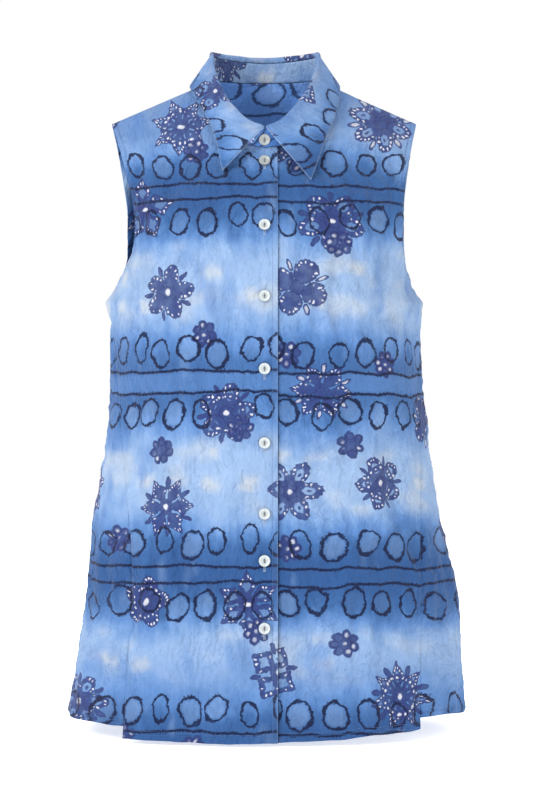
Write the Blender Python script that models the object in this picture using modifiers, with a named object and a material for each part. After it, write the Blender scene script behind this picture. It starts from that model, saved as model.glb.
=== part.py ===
# Sleeveless button-up shirt, filled out and empty. Metres, +Z up, the front faces -Y and the
# wearer's right is -X. The origin lies on the centre line at the height of the neck ends of the
# shoulder seams. Each cloth piece is an open surface lofted through rows, made solid by Solidify.
import math

import bpy
import numpy as np
from mathutils import Matrix, Vector
from mathutils.bvhtree import BVHTree

WALL = 0.0014           # every cloth wall
SEAM = 0.0005           # clear space between two sewn edges
RIDGE = 0.0009          # the same where walls meet at an angle, along the shoulder and the roll
BOXY = 2.25             # exponent of the body's rounded cross section, 2 is an ellipse
LAP = 0.0128            # each front runs this far past the centre line
LAP_STEP = 0.0024       # the left front lies this far behind the right one there
LAP_BLEND = 0.030       # and comes level again over this width
UNDERARM = -0.231       # height where the armholes end and the side seams begin
VENT_TOP = -0.628       # the side seams are open below this height
VENT_GAP = 0.0016       # clear space between front and back at the foot of the vent
NECK_HALF = 0.063       # half width of the neck seam
NECK_Y = 0.003          # the neck's centre lies this far behind the origin
NECK_FRONT = 0.086      # neck seam, centre to front
NECK_BACK = 0.067       # neck seam, centre to back
BUTTON_R = 0.00615
BUTTON_T = 0.0024
BUTTON_X = -0.0004      # the row of buttons, across
STAND_LAP_RIGHT = 0.0165
STAND_LAP_LEFT = 0.0125

# Half widths on the two sides, and the angle of each side seam from the centre front.
LEVEL_COLUMNS = "z right left seam_right seam_left"
LEVELS = (
    (-0.231, 0.1690, 0.1685, 90.0, 90.0),
    (-0.255, 0.1650, 0.1665, 84.0, 86.5),
    (-0.310, 0.1662, 0.1694, 73.0, 79.0),
    (-0.350, 0.1700, 0.1731, 65.0, 73.0),
    (-0.400, 0.1760, 0.1793, 56.5, 65.5),
    (-0.450, 0.1825, 0.1872, 50.0, 59.5),
    (-0.500, 0.1898, 0.1961, 45.5, 54.5),
    (-0.550, 0.1944, 0.2062, 43.5, 50.5),
    (-0.600, 0.2000, 0.2100, 42.8, 48.5),
    (-0.650, 0.2078, 0.2122, 42.3, 47.5),
    (-0.690, 0.2135, 0.2160, 42.0, 46.8),
)
# Depth of the centre front and centre back from the origin.
FRONT_COLUMNS = "z depth"
FRONT_DEPTHS = (
    (-0.071, 0.0830), (-0.110, 0.1030), (-0.150, 0.1180), (-0.190, 0.1275), (-0.231, 0.1310),
    (-0.310, 0.1300), (-0.400, 0.1320), (-0.500, 0.1380), (-0.600, 0.1460), (-0.690, 0.1520),
)
BACK_COLUMNS = "z depth"
BACK_DEPTHS = (
    (0.015, 0.0700), (-0.020, 0.0850), (-0.060, 0.0970), (-0.100, 0.1040), (-0.150, 0.1080),
    (-0.231, 0.1050), (-0.310, 0.1000), (-0.400, 0.1050), (-0.500, 0.1180), (-0.600, 0.1340),
    (-0.690, 0.1460),
)
# Height of the neck seam, by the angle from the centre back.
NECK_COLUMNS = "angle z"
NECK_HEIGHTS = (
    (0, 0.0150), (40, 0.0145), (70, 0.0120), (90, 0.0070), (110, -0.0120), (130, -0.0350),
    (150, -0.0565), (165, -0.0678), (180, -0.0710),
)
# Edges of the armholes, from the shoulder tip down to the underarm, x away from the centre.
ARM_COLUMNS = "x y z"
ARM_FRONT_RIGHT = (
    (0.1652, 0.005, -0.0367), (0.1546, -0.025, -0.0683), (0.1456, -0.045, -0.1027),
    (0.1387, -0.055, -0.1252), (0.1371, -0.060, -0.1525), (0.1392, -0.057, -0.1767),
    (0.1450, -0.046, -0.1925), (0.1547, -0.026, -0.2130), (0.1690, 0.000, -0.2310),
)
ARM_FRONT_LEFT = (
    (0.1630, 0.005, -0.0367), (0.1551, -0.025, -0.0711), (0.1509, -0.038, -0.0913),
    (0.1484, -0.050, -0.1108), (0.1465, -0.059, -0.1391), (0.1467, -0.058, -0.1720),
    (0.1490, -0.048, -0.1910), (0.1560, -0.025, -0.2140), (0.1685, 0.000, -0.2310),
)
ARM_BACK_RIGHT = (
    (0.1652, 0.005, -0.0367), (0.1610, 0.030, -0.0600), (0.1555, 0.050, -0.0950),
    (0.1515, 0.063, -0.1350), (0.1515, 0.061, -0.1700), (0.1570, 0.038, -0.2060),
    (0.1690, 0.000, -0.2310),
)
ARM_BACK_LEFT = (
    (0.1630, 0.005, -0.0367), (0.1595, 0.030, -0.0600), (0.1550, 0.050, -0.0950),
    (0.1520, 0.063, -0.1350), (0.1520, 0.061, -0.1700), (0.1575, 0.038, -0.2060),
    (0.1685, 0.000, -0.2310),
)
# Height of the hem, by the angle from the centre front, plus toward the wearer's left.
HEM_COLUMNS = "angle z"
HEM_FRONT = (
    (-45, -0.6838), (-25, -0.6850), (-5, -0.6862), (8, -0.6842), (20, -0.6832), (30, -0.6792),
    (40, -0.6785), (50, -0.6750),
)
HEM_BACK = (
    (-180, -0.6740), (-135, -0.6740), (-90, -0.6730), (-42, -0.6745),
    (45, -0.6662), (90, -0.6690), (135, -0.6715), (180, -0.6740),
)
# Soft folds of the skirt: where, how wide, how far out, the height where it fades in.
FOLD_COLUMNS = "angle spread out top"
FOLDS = (
    (-152, 9, 0.0060, -0.40), (-128, 8, -0.0055, -0.43), (-108, 9, 0.0050, -0.38),
    (-74, 8, 0.0030, -0.45), (-58, 6, -0.0040, -0.50), (-36, 7, 0.0025, -0.42),
    (-19, 6, -0.0022, -0.36), (-8, 6, 0.0018, -0.50), (14, 6, -0.0020, -0.30),
    (27, 6, 0.0024, -0.33), (38, 5, -0.0026, -0.52), (62, 7, -0.0035, -0.48),
    (80, 8, 0.0030, -0.44), (112, 9, 0.0055, -0.40), (134, 8, -0.0055, -0.36),
    (157, 9, 0.0060, -0.42), (179, 9, -0.0060, -0.38),
)
# The stand: its height above the neck seam and how far its top leans out, from the centre back.
STAND_COLUMNS = "angle height lean"
STAND = (
    (0, 0.0215, -0.0015), (60, 0.0250, -0.0030), (90, 0.0290, -0.0040), (120, 0.0300, -0.0020),
    (140, 0.0290, 0.0000), (155, 0.0260, 0.0012), (168, 0.0220, 0.0018), (180, 0.0190, 0.0020),
)
# The fall: rise of its roll over the stand, half the width of the roll, and its outer edge.
FALL_COLUMNS = "angle rise roll x y z"
FALL_RIGHT = (
    (0, 0.0060, 0.0024, 0.0000, 0.0830, -0.0020), (35, 0.0058, 0.0024, 0.0470, 0.0690, -0.0025),
    (60, 0.0056, 0.0024, 0.0690, 0.0460, 0.0030), (78, 0.0054, 0.0024, 0.0790, 0.0210, 0.0050),
    (90, 0.0052, 0.0024, 0.0815, 0.0040, 0.0040), (118, 0.0042, 0.0024, 0.0760, -0.0250, -0.0100),
    (140, 0.0034, 0.0022, 0.0655, -0.0500, -0.0285), (155, 0.0028, 0.0020, 0.0595, -0.0650, -0.0395),
    (168, 0.0024, 0.0022, 0.0520, -0.0820, -0.0600), (179, 0.0020, 0.0022, 0.0448, -0.0975, -0.0960),
)
FALL_LEFT = (
    (0, 0.0060, 0.0024, 0.0000, 0.0830, -0.0020), (35, 0.0058, 0.0024, 0.0470, 0.0690, -0.0025),
    (60, 0.0056, 0.0024, 0.0690, 0.0460, 0.0030), (78, 0.0054, 0.0024, 0.0785, 0.0210, 0.0050),
    (90, 0.0052, 0.0024, 0.0810, 0.0040, 0.0040), (118, 0.0042, 0.0024, 0.0795, -0.0265, -0.0135),
    (140, 0.0034, 0.0022, 0.0725, -0.0530, -0.0375), (155, 0.0028, 0.0020, 0.0655, -0.0690, -0.0550),
    (168, 0.0024, 0.0022, 0.0575, -0.0840, -0.0730), (179, 0.0020, 0.0022, 0.0447, -0.1010, -0.1022),
)
# Heights of the buttons down the placket, and of the one on the stand.
BUTTON_HEIGHTS = (-0.0850, -0.1540, -0.2275, -0.3025, -0.3790, -0.4520, -0.5000, -0.5690)
STAND_BUTTON_HEIGHT = -0.0622

NECK_ROWS, CHEST_ROWS, SKIRT_ROWS = 10, 9, 18     # rows of a front
BACK_NECK_ROWS, BACK_CHEST_ROWS = 6, 11           # rows of the back above the underarm
FRONT_COLS, BACK_COLS = 17, 20                    # columns of a front and of half the back
LAP_COLS = 1                                      # of which this many lie past the centre line


def named(columns, rows):
    """The table's columns as arrays, by name."""
    return {name: np.array([row[i] for row in rows]) for i, name in enumerate(columns.split())}


def read(table, key, name, at):
    """A smooth reading between a table's rows, without overshoot."""
    x, y = table[key], table[name]
    if x[0] > x[-1]:
        x, y = x[::-1], y[::-1]
    at = np.clip(at, x[0], x[-1])
    step, rise = np.diff(x), np.diff(y)
    slope = rise / step
    tangent = np.concatenate((slope[:1], np.zeros(len(x) - 2), slope[-1:]))
    for i in range(1, len(x) - 1):
        if slope[i - 1] * slope[i] > 0:
            w1, w2 = 2 * step[i] + step[i - 1], step[i] + 2 * step[i - 1]
            tangent[i] = (w1 + w2) / (w1 / slope[i - 1] + w2 / slope[i])
    i = np.clip(np.searchsorted(x, at, side="right") - 1, 0, len(x) - 2)
    t = (at - x[i]) / step[i]
    return ((1 + 2 * t) * (1 - t) ** 2 * y[i] + t * (1 - t) ** 2 * step[i] * tangent[i]
            + t * t * (3 - 2 * t) * y[i + 1] + t * t * (t - 1) * step[i] * tangent[i + 1])


def ease(low, high, at):
    t = np.clip((at - low) / (high - low), 0, 1)
    return t * t * (3 - 2 * t)


levels = named(LEVEL_COLUMNS, LEVELS)
frontDepths = named(FRONT_COLUMNS, FRONT_DEPTHS)
backDepths = named(BACK_COLUMNS, BACK_DEPTHS)
neckHeights = named(NECK_COLUMNS, NECK_HEIGHTS)
stand = named(STAND_COLUMNS, STAND)
folds = named(FOLD_COLUMNS, FOLDS)
hems = {"front": named(HEM_COLUMNS, HEM_FRONT), "back": named(HEM_COLUMNS, HEM_BACK)}
armholes = {
    ("front", -1): named(ARM_COLUMNS, ARM_FRONT_RIGHT), ("front", 1): named(ARM_COLUMNS, ARM_FRONT_LEFT),
    ("back", -1): named(ARM_COLUMNS, ARM_BACK_RIGHT), ("back", 1): named(ARM_COLUMNS, ARM_BACK_LEFT),
}
falls = {-1: named(FALL_COLUMNS, FALL_RIGHT), 1: named(FALL_COLUMNS, FALL_LEFT)}


def neck_turn(angle):
    """The angle from the centre back that reads the tables, also past the centre front."""
    return 180 - abs(180 - abs(angle))


def neck_point(angle):
    """A point of the neck seam, angle in degrees from the centre back toward the wearer's left."""
    a = math.radians(angle)
    deep = NECK_BACK if math.cos(a) > 0 else NECK_FRONT
    z = float(read(neckHeights, "angle", "z", neck_turn(angle)))
    return np.array((NECK_HALF * math.sin(a), NECK_Y + deep * math.cos(a), z))


def neck_outward(angle):
    a = math.radians(angle)
    deep = NECK_BACK if math.cos(a) > 0 else NECK_FRONT
    v = np.array((math.sin(a) / NECK_HALF, math.cos(a) / deep, 0.0))
    return v / np.linalg.norm(v)


def armhole_point(panel, side, share):
    """A point of an armhole's edge, by its share of the way down from the shoulder tip."""
    table = armholes[panel, side]
    pts = np.stack((side * table["x"], table["y"], table["z"]), axis=1)
    run = np.concatenate(((0,), np.cumsum(np.linalg.norm(np.diff(pts, axis=0), axis=1))))
    path = {"run": run / run[-1], "x": pts[:, 0], "y": pts[:, 1], "z": pts[:, 2]}
    return np.array([float(read(path, "run", name, share)) for name in "xyz"])


def row_between(a, b, turn, dip, follow):
    """A row from a to b that leaves a straight across, runs straight as far as the centre line
    if a lies past it, and has turned by turn at b. Where it dips near a it follows the centre
    front's depth by this share."""
    whole = math.radians(turn)
    power = 2 / BOXY
    across = (np.sin(whole * np.linspace(0, 1, 240)) / math.sin(whole)) ** power
    x = a[0] + (b[0] - a[0]) * across
    start = 0.0 if a[0] * b[0] < 0 else a[0]
    bent = np.clip((x - start) / (b[0] - start), 0, 1)
    angle = np.arcsin(np.clip(bent ** (1 / power) * math.sin(whole), 0, 1))
    round_ = (1 - np.cos(angle) ** power) / (1 - math.cos(whole) ** power)
    z = a[2] + (b[2] - a[2]) * across ** dip
    depth = float(read(frontDepths, "z", "depth", a[2]))
    near = np.full(len(x), a[1])
    if a[0] * b[0] < 0:
        near = -depth + (a[1] + depth) * np.clip(x / a[0], 0, 1) ** 2
    near = near - follow * (read(frontDepths, "z", "depth", z) - depth)
    return np.stack((x, near + (b[1] - near) * round_, z), axis=1)


def evenly(pts, count, trim):
    """The line's points evenly spaced, with this length cut off its far end."""
    run = np.concatenate(((0,), np.cumsum(np.linalg.norm(np.diff(pts, axis=0), axis=1))))
    at = np.linspace(0, run[-1] - trim, count)
    return np.stack([np.interp(at, run, pts[:, i]) for i in range(3)], axis=1)


def skirt_row(panel, side, down, count):
    """A level row below the underarm, from the centre to the side seam, in the body's section."""
    name = "right" if side < 0 else "left"
    z = UNDERARM + down * (float(read(hems[panel], "angle", "z", side * 45)) - UNDERARM)
    half = float(read(levels, "z", name, z))
    seam = float(read(levels, "z", "seam_" + name, z))
    front = float(read(frontDepths, "z", "depth", z))
    back = float(read(backDepths, "z", "depth", z))
    angle = np.linspace(0.0 if panel == "front" else 180.0, seam, 400)
    a = np.radians(angle)
    power = 2 / BOXY
    x = side * half * np.abs(np.sin(a)) ** power
    y = np.where(angle < 90, -front, back) * np.abs(np.cos(a)) ** power
    if panel == "front":
        ahead = np.linspace(-LAP * side, 0, LAP_COLS + 1)[:-1]
        x, y = np.append(ahead, x), np.append(np.full(LAP_COLS, -front), y)
        angle = np.append(np.degrees(np.arcsin(ahead / half)) * side, angle)
    hem = read(hems[panel], "angle", "z", side * angle)
    height = UNDERARM + down * (hem - UNDERARM)
    out = np.zeros(len(angle))
    for i in range(len(FOLDS)):
        gap = (side * angle - folds["angle"][i] + 180) % 360 - 180
        full = ease(-folds["top"][i], -folds["top"][i] + 0.24, -height)
        out += folds["out"][i] * full * np.exp(-(gap / folds["spread"][i]) ** 2)
    normal = np.stack((x / half ** 2, y / np.where(y < 0, front, back) ** 2), axis=1)
    normal /= np.linalg.norm(normal, axis=1)[:, None]
    pts = np.stack((x + out * normal[:, 0], y + out * normal[:, 1], height), axis=1)
    # the seam's two edges stand apart, and further apart down the vent
    apart = SEAM / 2 + (VENT_GAP - SEAM) / 2 * float(ease(-VENT_TOP, -VENT_TOP + 0.04, -z))
    if panel == "back":
        return evenly(pts, count, apart)
    return np.concatenate((pts[:LAP_COLS], evenly(pts[LAP_COLS:], count - LAP_COLS, apart)))


def front_rows(side):
    """Rows of a front, from the shoulder seam down to the hem, each from the centre outward."""
    rows = []
    ends = 180 + math.degrees(math.asin(LAP / NECK_HALF))
    upper = NECK_ROWS + CHEST_ROWS
    corner = neck_point(side * ends)
    for i in range(upper):
        share = i / upper
        b = armhole_point("front", side, share)
        if i <= NECK_ROWS:
            a = neck_point(side * (90 + (ends - 90) * i / NECK_ROWS))
        else:
            z = corner[2] + (UNDERARM - corner[2]) * (i - NECK_ROWS) / CHEST_ROWS
            a = np.array((corner[0], -float(read(frontDepths, "z", "depth", z)), z))
        dip = 1 - 0.32 * math.sin(math.pi * min(share / 0.9, 1))
        follow = min(1.0, i / NECK_ROWS) ** 4
        row = evenly(row_between(a, b, 24 + 66 * share ** 1.2, dip, follow), FRONT_COLS, 0.0)
        # along the shoulder the front keeps clear of the back
        row[:, 1] -= RIDGE / 2 * (1 - share) ** 8
        rows.append(row)
    rows += [skirt_row("front", side, i / SKIRT_ROWS, FRONT_COLS) for i in range(SKIRT_ROWS + 1)]
    rows = np.array(rows)
    if side > 0:
        # the left front passes behind the right one at the centre
        behind = 1 - ease(LAP, LAP + LAP_BLEND, rows[:, :, 0])
        rows[:, :, 1] += LAP_STEP * behind * ease(-0.02, 0.05, -rows[:, :, 2])
    return rows


def back_rows(side):
    """Rows of half the back, from the shoulder seam down, each from the centre outward."""
    rows = []
    upper = BACK_NECK_ROWS + BACK_CHEST_ROWS
    for i in range(upper):
        share = i / upper
        b = armhole_point("back", side, share)
        if i <= BACK_NECK_ROWS:
            a = neck_point(side * 90 * (1 - i / BACK_NECK_ROWS))
        else:
            z = 0.015 + (UNDERARM - 0.015) * ((i - BACK_NECK_ROWS) / BACK_CHEST_ROWS)
            a = np.array((0, float(read(backDepths, "z", "depth", z)), z))
        row = evenly(row_between(a, b, 24 + 66 * share ** 1.2, 1.0, 0.0), BACK_COLS, 0.0)
        row[:, 1] += RIDGE / 2 * (1 - share) ** 8
        rows.append(row)
    return np.array(rows + [skirt_row("back", side, i / SKIRT_ROWS, BACK_COLS)
                            for i in range(SKIRT_ROWS + 1)])


def stand_rows():
    """Rows of the stand, from the neck seam up, each round from the left end to the right one."""
    first = 180 + math.degrees(math.asin(STAND_LAP_LEFT / NECK_HALF))
    last = 180 + math.degrees(math.asin(STAND_LAP_RIGHT / NECK_HALF))
    angles = np.linspace(first, -last, 47)
    rows = []
    for up in (0.0, 0.35, 0.7, 1.0):
        row = []
        for angle in angles:
            turn = neck_turn(angle)
            height = float(read(stand, "angle", "height", turn))
            end = first if angle > 0 else last
            past = max(0.0, 1 - (end - abs(angle)) / 9.0)
            low = 0.62 + 0.38 * math.sqrt(max(0.0, 1 - past * past))
            height *= low
            lean = float(read(stand, "angle", "lean", turn)) * low
            layer = float(ease(110, 160, abs(angle))) * LAP_STEP / 2 * (-1 if angle > 0 else 1)
            base = neck_point(angle) + np.array((0, 0, SEAM + WALL / 2))
            row.append(base + neck_outward(angle) * (lean * up + layer)
                       + np.array((0, 0, height * up)))
        rows.append(row)
    return np.array(rows)


def fall_rows():
    """Rows of the fall: up from the stand, over the roll and down to the outer edge."""
    angles = np.concatenate((np.linspace(179, 8, 24), (0,), np.linspace(-8, -179, 24)))
    over = ((0.0, 0.0), (0.62, 0.22), (1.0, 1.0), (0.62, 1.78), (0.0, 2.0))   # rise, roll
    columns = []
    for angle in angles:
        turn, side = abs(angle), (1 if angle > 0 else -1)
        table = falls[side]
        rise, roll, x, y, z = (float(read(table, "angle", name, turn)) for name in
                               "rise roll x y z".split())
        height = float(read(stand, "angle", "height", turn))
        lean = float(read(stand, "angle", "lean", turn))
        layer = float(ease(110, 160, turn)) * LAP_STEP / 2
        out = neck_outward(angle)
        foot = neck_point(angle) + out * (lean - layer * side)
        foot = foot + np.array((0, 0, SEAM + WALL / 2 + height + RIDGE + WALL / 2))
        column = [foot + np.array((0, 0, rise * up)) + out * roll * go for up, go in over]
        edge = np.array((side * x, y, z))
        start = column[-1]
        for t in (0.2, 0.4, 0.6, 0.8, 1.0):
            bulge = 0.0020 * math.sin(math.pi * t)
            column.append(start + (edge - start) * t + out * bulge)
        columns.append(column)
    return np.array(columns).transpose(1, 0, 2)


def grid_faces(rows, cols, offset=0):
    return [(offset + r * cols + c, offset + r * cols + c + 1,
             offset + (r + 1) * cols + c + 1, offset + (r + 1) * cols + c)
            for r in range(rows - 1) for c in range(cols - 1)]


def open_mesh(name, points, faces):
    mesh = bpy.data.meshes.new(name)
    mesh.from_pydata([tuple(float(v) for v in p) for p in points], [], faces)
    mesh.update()
    return mesh


def clear_of(points, surfaces, distance):
    """Points moved, where they need it, to this far outside the surfaces, or inside if minus."""
    moved = points.copy()
    for i, point in enumerate(points):
        hits = [tree.find_nearest(Vector(point)) for tree in surfaces]
        near, normal, _, gap = min(hits, key=lambda hit: hit[3])
        if normal.dot(near - Vector((0, 0, near.z - 0.12))) < 0:
            normal = -normal
        depth = (Vector(point) - near).dot(normal)
        if gap < 0.03 and (depth - distance) * distance < 0:
            moved[i] = np.array(Vector(point) + normal * (distance - depth))
    return moved


def cloth_material(name):
    material = bpy.data.materials.new(name)
    material.use_nodes = True
    shader = material.node_tree.nodes["Principled BSDF"]
    shader.inputs["Base Color"].default_value = (0.16, 0.33, 0.68, 1)
    shader.inputs["Roughness"].default_value = 0.82
    shader.inputs["Metallic"].default_value = 0.0
    return material


def cloth_object(name, points, faces, collection):
    shirtPiece = bpy.data.objects.new(name, open_mesh(name, points, faces))
    collection.objects.link(shirtPiece)
    solid = shirtPiece.modifiers.new("wall", "SOLIDIFY")
    solid.thickness = WALL
    solid.offset = 0.0
    shirtPiece.data.materials.append(cloth_material(name + "_cloth"))
    shirtPiece.data.shade_smooth()
    return shirtPiece


def main():
    for old in list(bpy.data.objects):
        bpy.data.objects.remove(old, do_unlink=True)
    shirt = bpy.data.collections.new("button_up_shirt")
    bpy.context.scene.collection.children.link(shirt)

    body = []
    for side, name in ((-1, "front_right"), (1, "front_left")):
        rows = front_rows(side)
        faces = grid_faces(rows.shape[0], rows.shape[1])
        points = rows.reshape(-1, 3)
        if side > 0:
            under = points[:, 0] < LAP + 0.003
            points[under] = clear_of(points[under], body, -LAP_STEP - 0.0006)
        cloth_object(name, points, faces, shirt)
        body.append(BVHTree.FromPolygons([tuple(p) for p in points.tolist()], faces))

    # The two halves of the back share the column of points down the centre.
    right, left = back_rows(-1), back_rows(1)
    count = right.shape[0] * BACK_COLS
    points = np.concatenate((right.reshape(-1, 3), left.reshape(-1, 3)))
    faces = grid_faces(right.shape[0], BACK_COLS)
    for face in grid_faces(left.shape[0], BACK_COLS, count):
        face = tuple(v - count if (v - count) % BACK_COLS == 0
                     and (v - count) // BACK_COLS >= BACK_NECK_ROWS else v for v in face)
        faces.append(face[::-1])
    used = sorted({v for face in faces for v in face})
    index = {v: i for i, v in enumerate(used)}
    points = points[used]
    faces = [tuple(index[v] for v in face) for face in faces]
    cloth_object("back", points, faces, shirt)
    body.append(BVHTree.FromPolygons([tuple(p) for p in points.tolist()], faces))

    rows = stand_rows()
    faces = grid_faces(rows.shape[0], rows.shape[1])
    cloth_object("collar_stand", rows.reshape(-1, 3), faces, shirt)

    rows = fall_rows()
    points = rows.reshape(-1, 3)
    outer = 6 * rows.shape[1]
    points[outer:] = clear_of(points[outer:], body, WALL + 0.0012)
    cloth_object("collar_fall", points, grid_faces(rows.shape[0], rows.shape[1]), shirt)

    # A button is a profile turned about its own axis, with a raised rim.
    profile = ((0.0, BUTTON_T * 0.70), (BUTTON_R * 0.62, BUTTON_T * 0.70), (BUTTON_R * 0.74, BUTTON_T),
               (BUTTON_R * 0.93, BUTTON_T), (BUTTON_R, BUTTON_T * 0.72), (BUTTON_R * 0.92, 0.0), (0.0, 0.0))
    turned = bpy.data.meshes.new("button")
    turned.from_pydata([(r, 0.0, z) for r, z in profile], [(i, i + 1) for i in range(len(profile) - 1)], [])
    shell = bpy.data.materials.new("button_shell")
    shell.use_nodes = True
    shader = shell.node_tree.nodes["Principled BSDF"]
    shader.inputs["Base Color"].default_value = (0.82, 0.81, 0.68, 1)
    shader.inputs["Roughness"].default_value = 0.32
    shader.inputs["Metallic"].default_value = 0.0
    turned.materials.append(shell)
    spots = [(STAND_BUTTON_HEIGHT, None)] + [(z, "placket") for z in BUTTON_HEIGHTS]
    for number, (z, place) in enumerate(spots, start=1):
        if place:
            y = -float(read(frontDepths, "z", "depth", z))
            y2 = -float(read(frontDepths, "z", "depth", z - 0.004))
            slope = (y2 - y) / -0.004
        else:
            base = neck_point(-180)
            up = (z - base[2] - SEAM - WALL / 2) / 0.019
            y = base[1] - 0.0020 * up - LAP_STEP / 2
            slope = -0.0020 / 0.019
        # the front's outer point goes forward with the soft folds at the centre
        out = 0.0
        for i in range(len(FOLDS)):
            full = float(ease(-folds["top"][i], -folds["top"][i] + 0.24, -z))
            out += folds["out"][i] * full * math.exp(-(folds["angle"][i] / folds["spread"][i]) ** 2)
        button = bpy.data.objects.new(f"button_{number}", turned)
        shirt.objects.link(button)
        turn = button.modifiers.new("turn", "SCREW")
        turn.steps = turn.render_steps = 18
        turn.use_merge_vertices = True
        turn.merge_threshold = 0.00005
        turn.use_normal_calculate = True
        face = Vector((0.0, -1.0, slope)).normalized()
        button.matrix_world = (Matrix.Translation((BUTTON_X, y - out - WALL / 2 - 0.0004, z))
                               @ face.to_track_quat("Z", "Y").to_matrix().to_4x4())


main()
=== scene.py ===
# Looks of the sleeveless button-up shirt: thin cloth shells on the solids' form, turned edges, sewing,
# two-hole buttons and a dyed and printed cloth. Metres; the front faces -Y, the wearer's right is -X.
import math

import bpy
import numpy as np
from mathutils import Matrix, Vector
from mathutils.bvhtree import BVHTree


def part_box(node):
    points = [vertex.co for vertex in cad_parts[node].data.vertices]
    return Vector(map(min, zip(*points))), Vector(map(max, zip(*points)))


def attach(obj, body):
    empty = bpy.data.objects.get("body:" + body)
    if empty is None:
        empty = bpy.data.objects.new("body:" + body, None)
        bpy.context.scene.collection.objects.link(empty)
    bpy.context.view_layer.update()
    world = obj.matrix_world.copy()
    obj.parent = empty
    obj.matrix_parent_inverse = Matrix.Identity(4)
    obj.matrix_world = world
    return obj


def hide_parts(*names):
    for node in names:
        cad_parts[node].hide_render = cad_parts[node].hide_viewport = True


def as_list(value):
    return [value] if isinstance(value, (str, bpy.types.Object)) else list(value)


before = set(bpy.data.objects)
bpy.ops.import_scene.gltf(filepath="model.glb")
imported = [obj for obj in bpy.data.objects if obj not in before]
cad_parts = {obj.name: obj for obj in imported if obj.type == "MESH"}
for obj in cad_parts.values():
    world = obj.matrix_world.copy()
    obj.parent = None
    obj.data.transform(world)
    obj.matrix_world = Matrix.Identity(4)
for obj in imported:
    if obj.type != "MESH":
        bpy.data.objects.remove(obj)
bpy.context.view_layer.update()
print("frame loaded")


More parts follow.
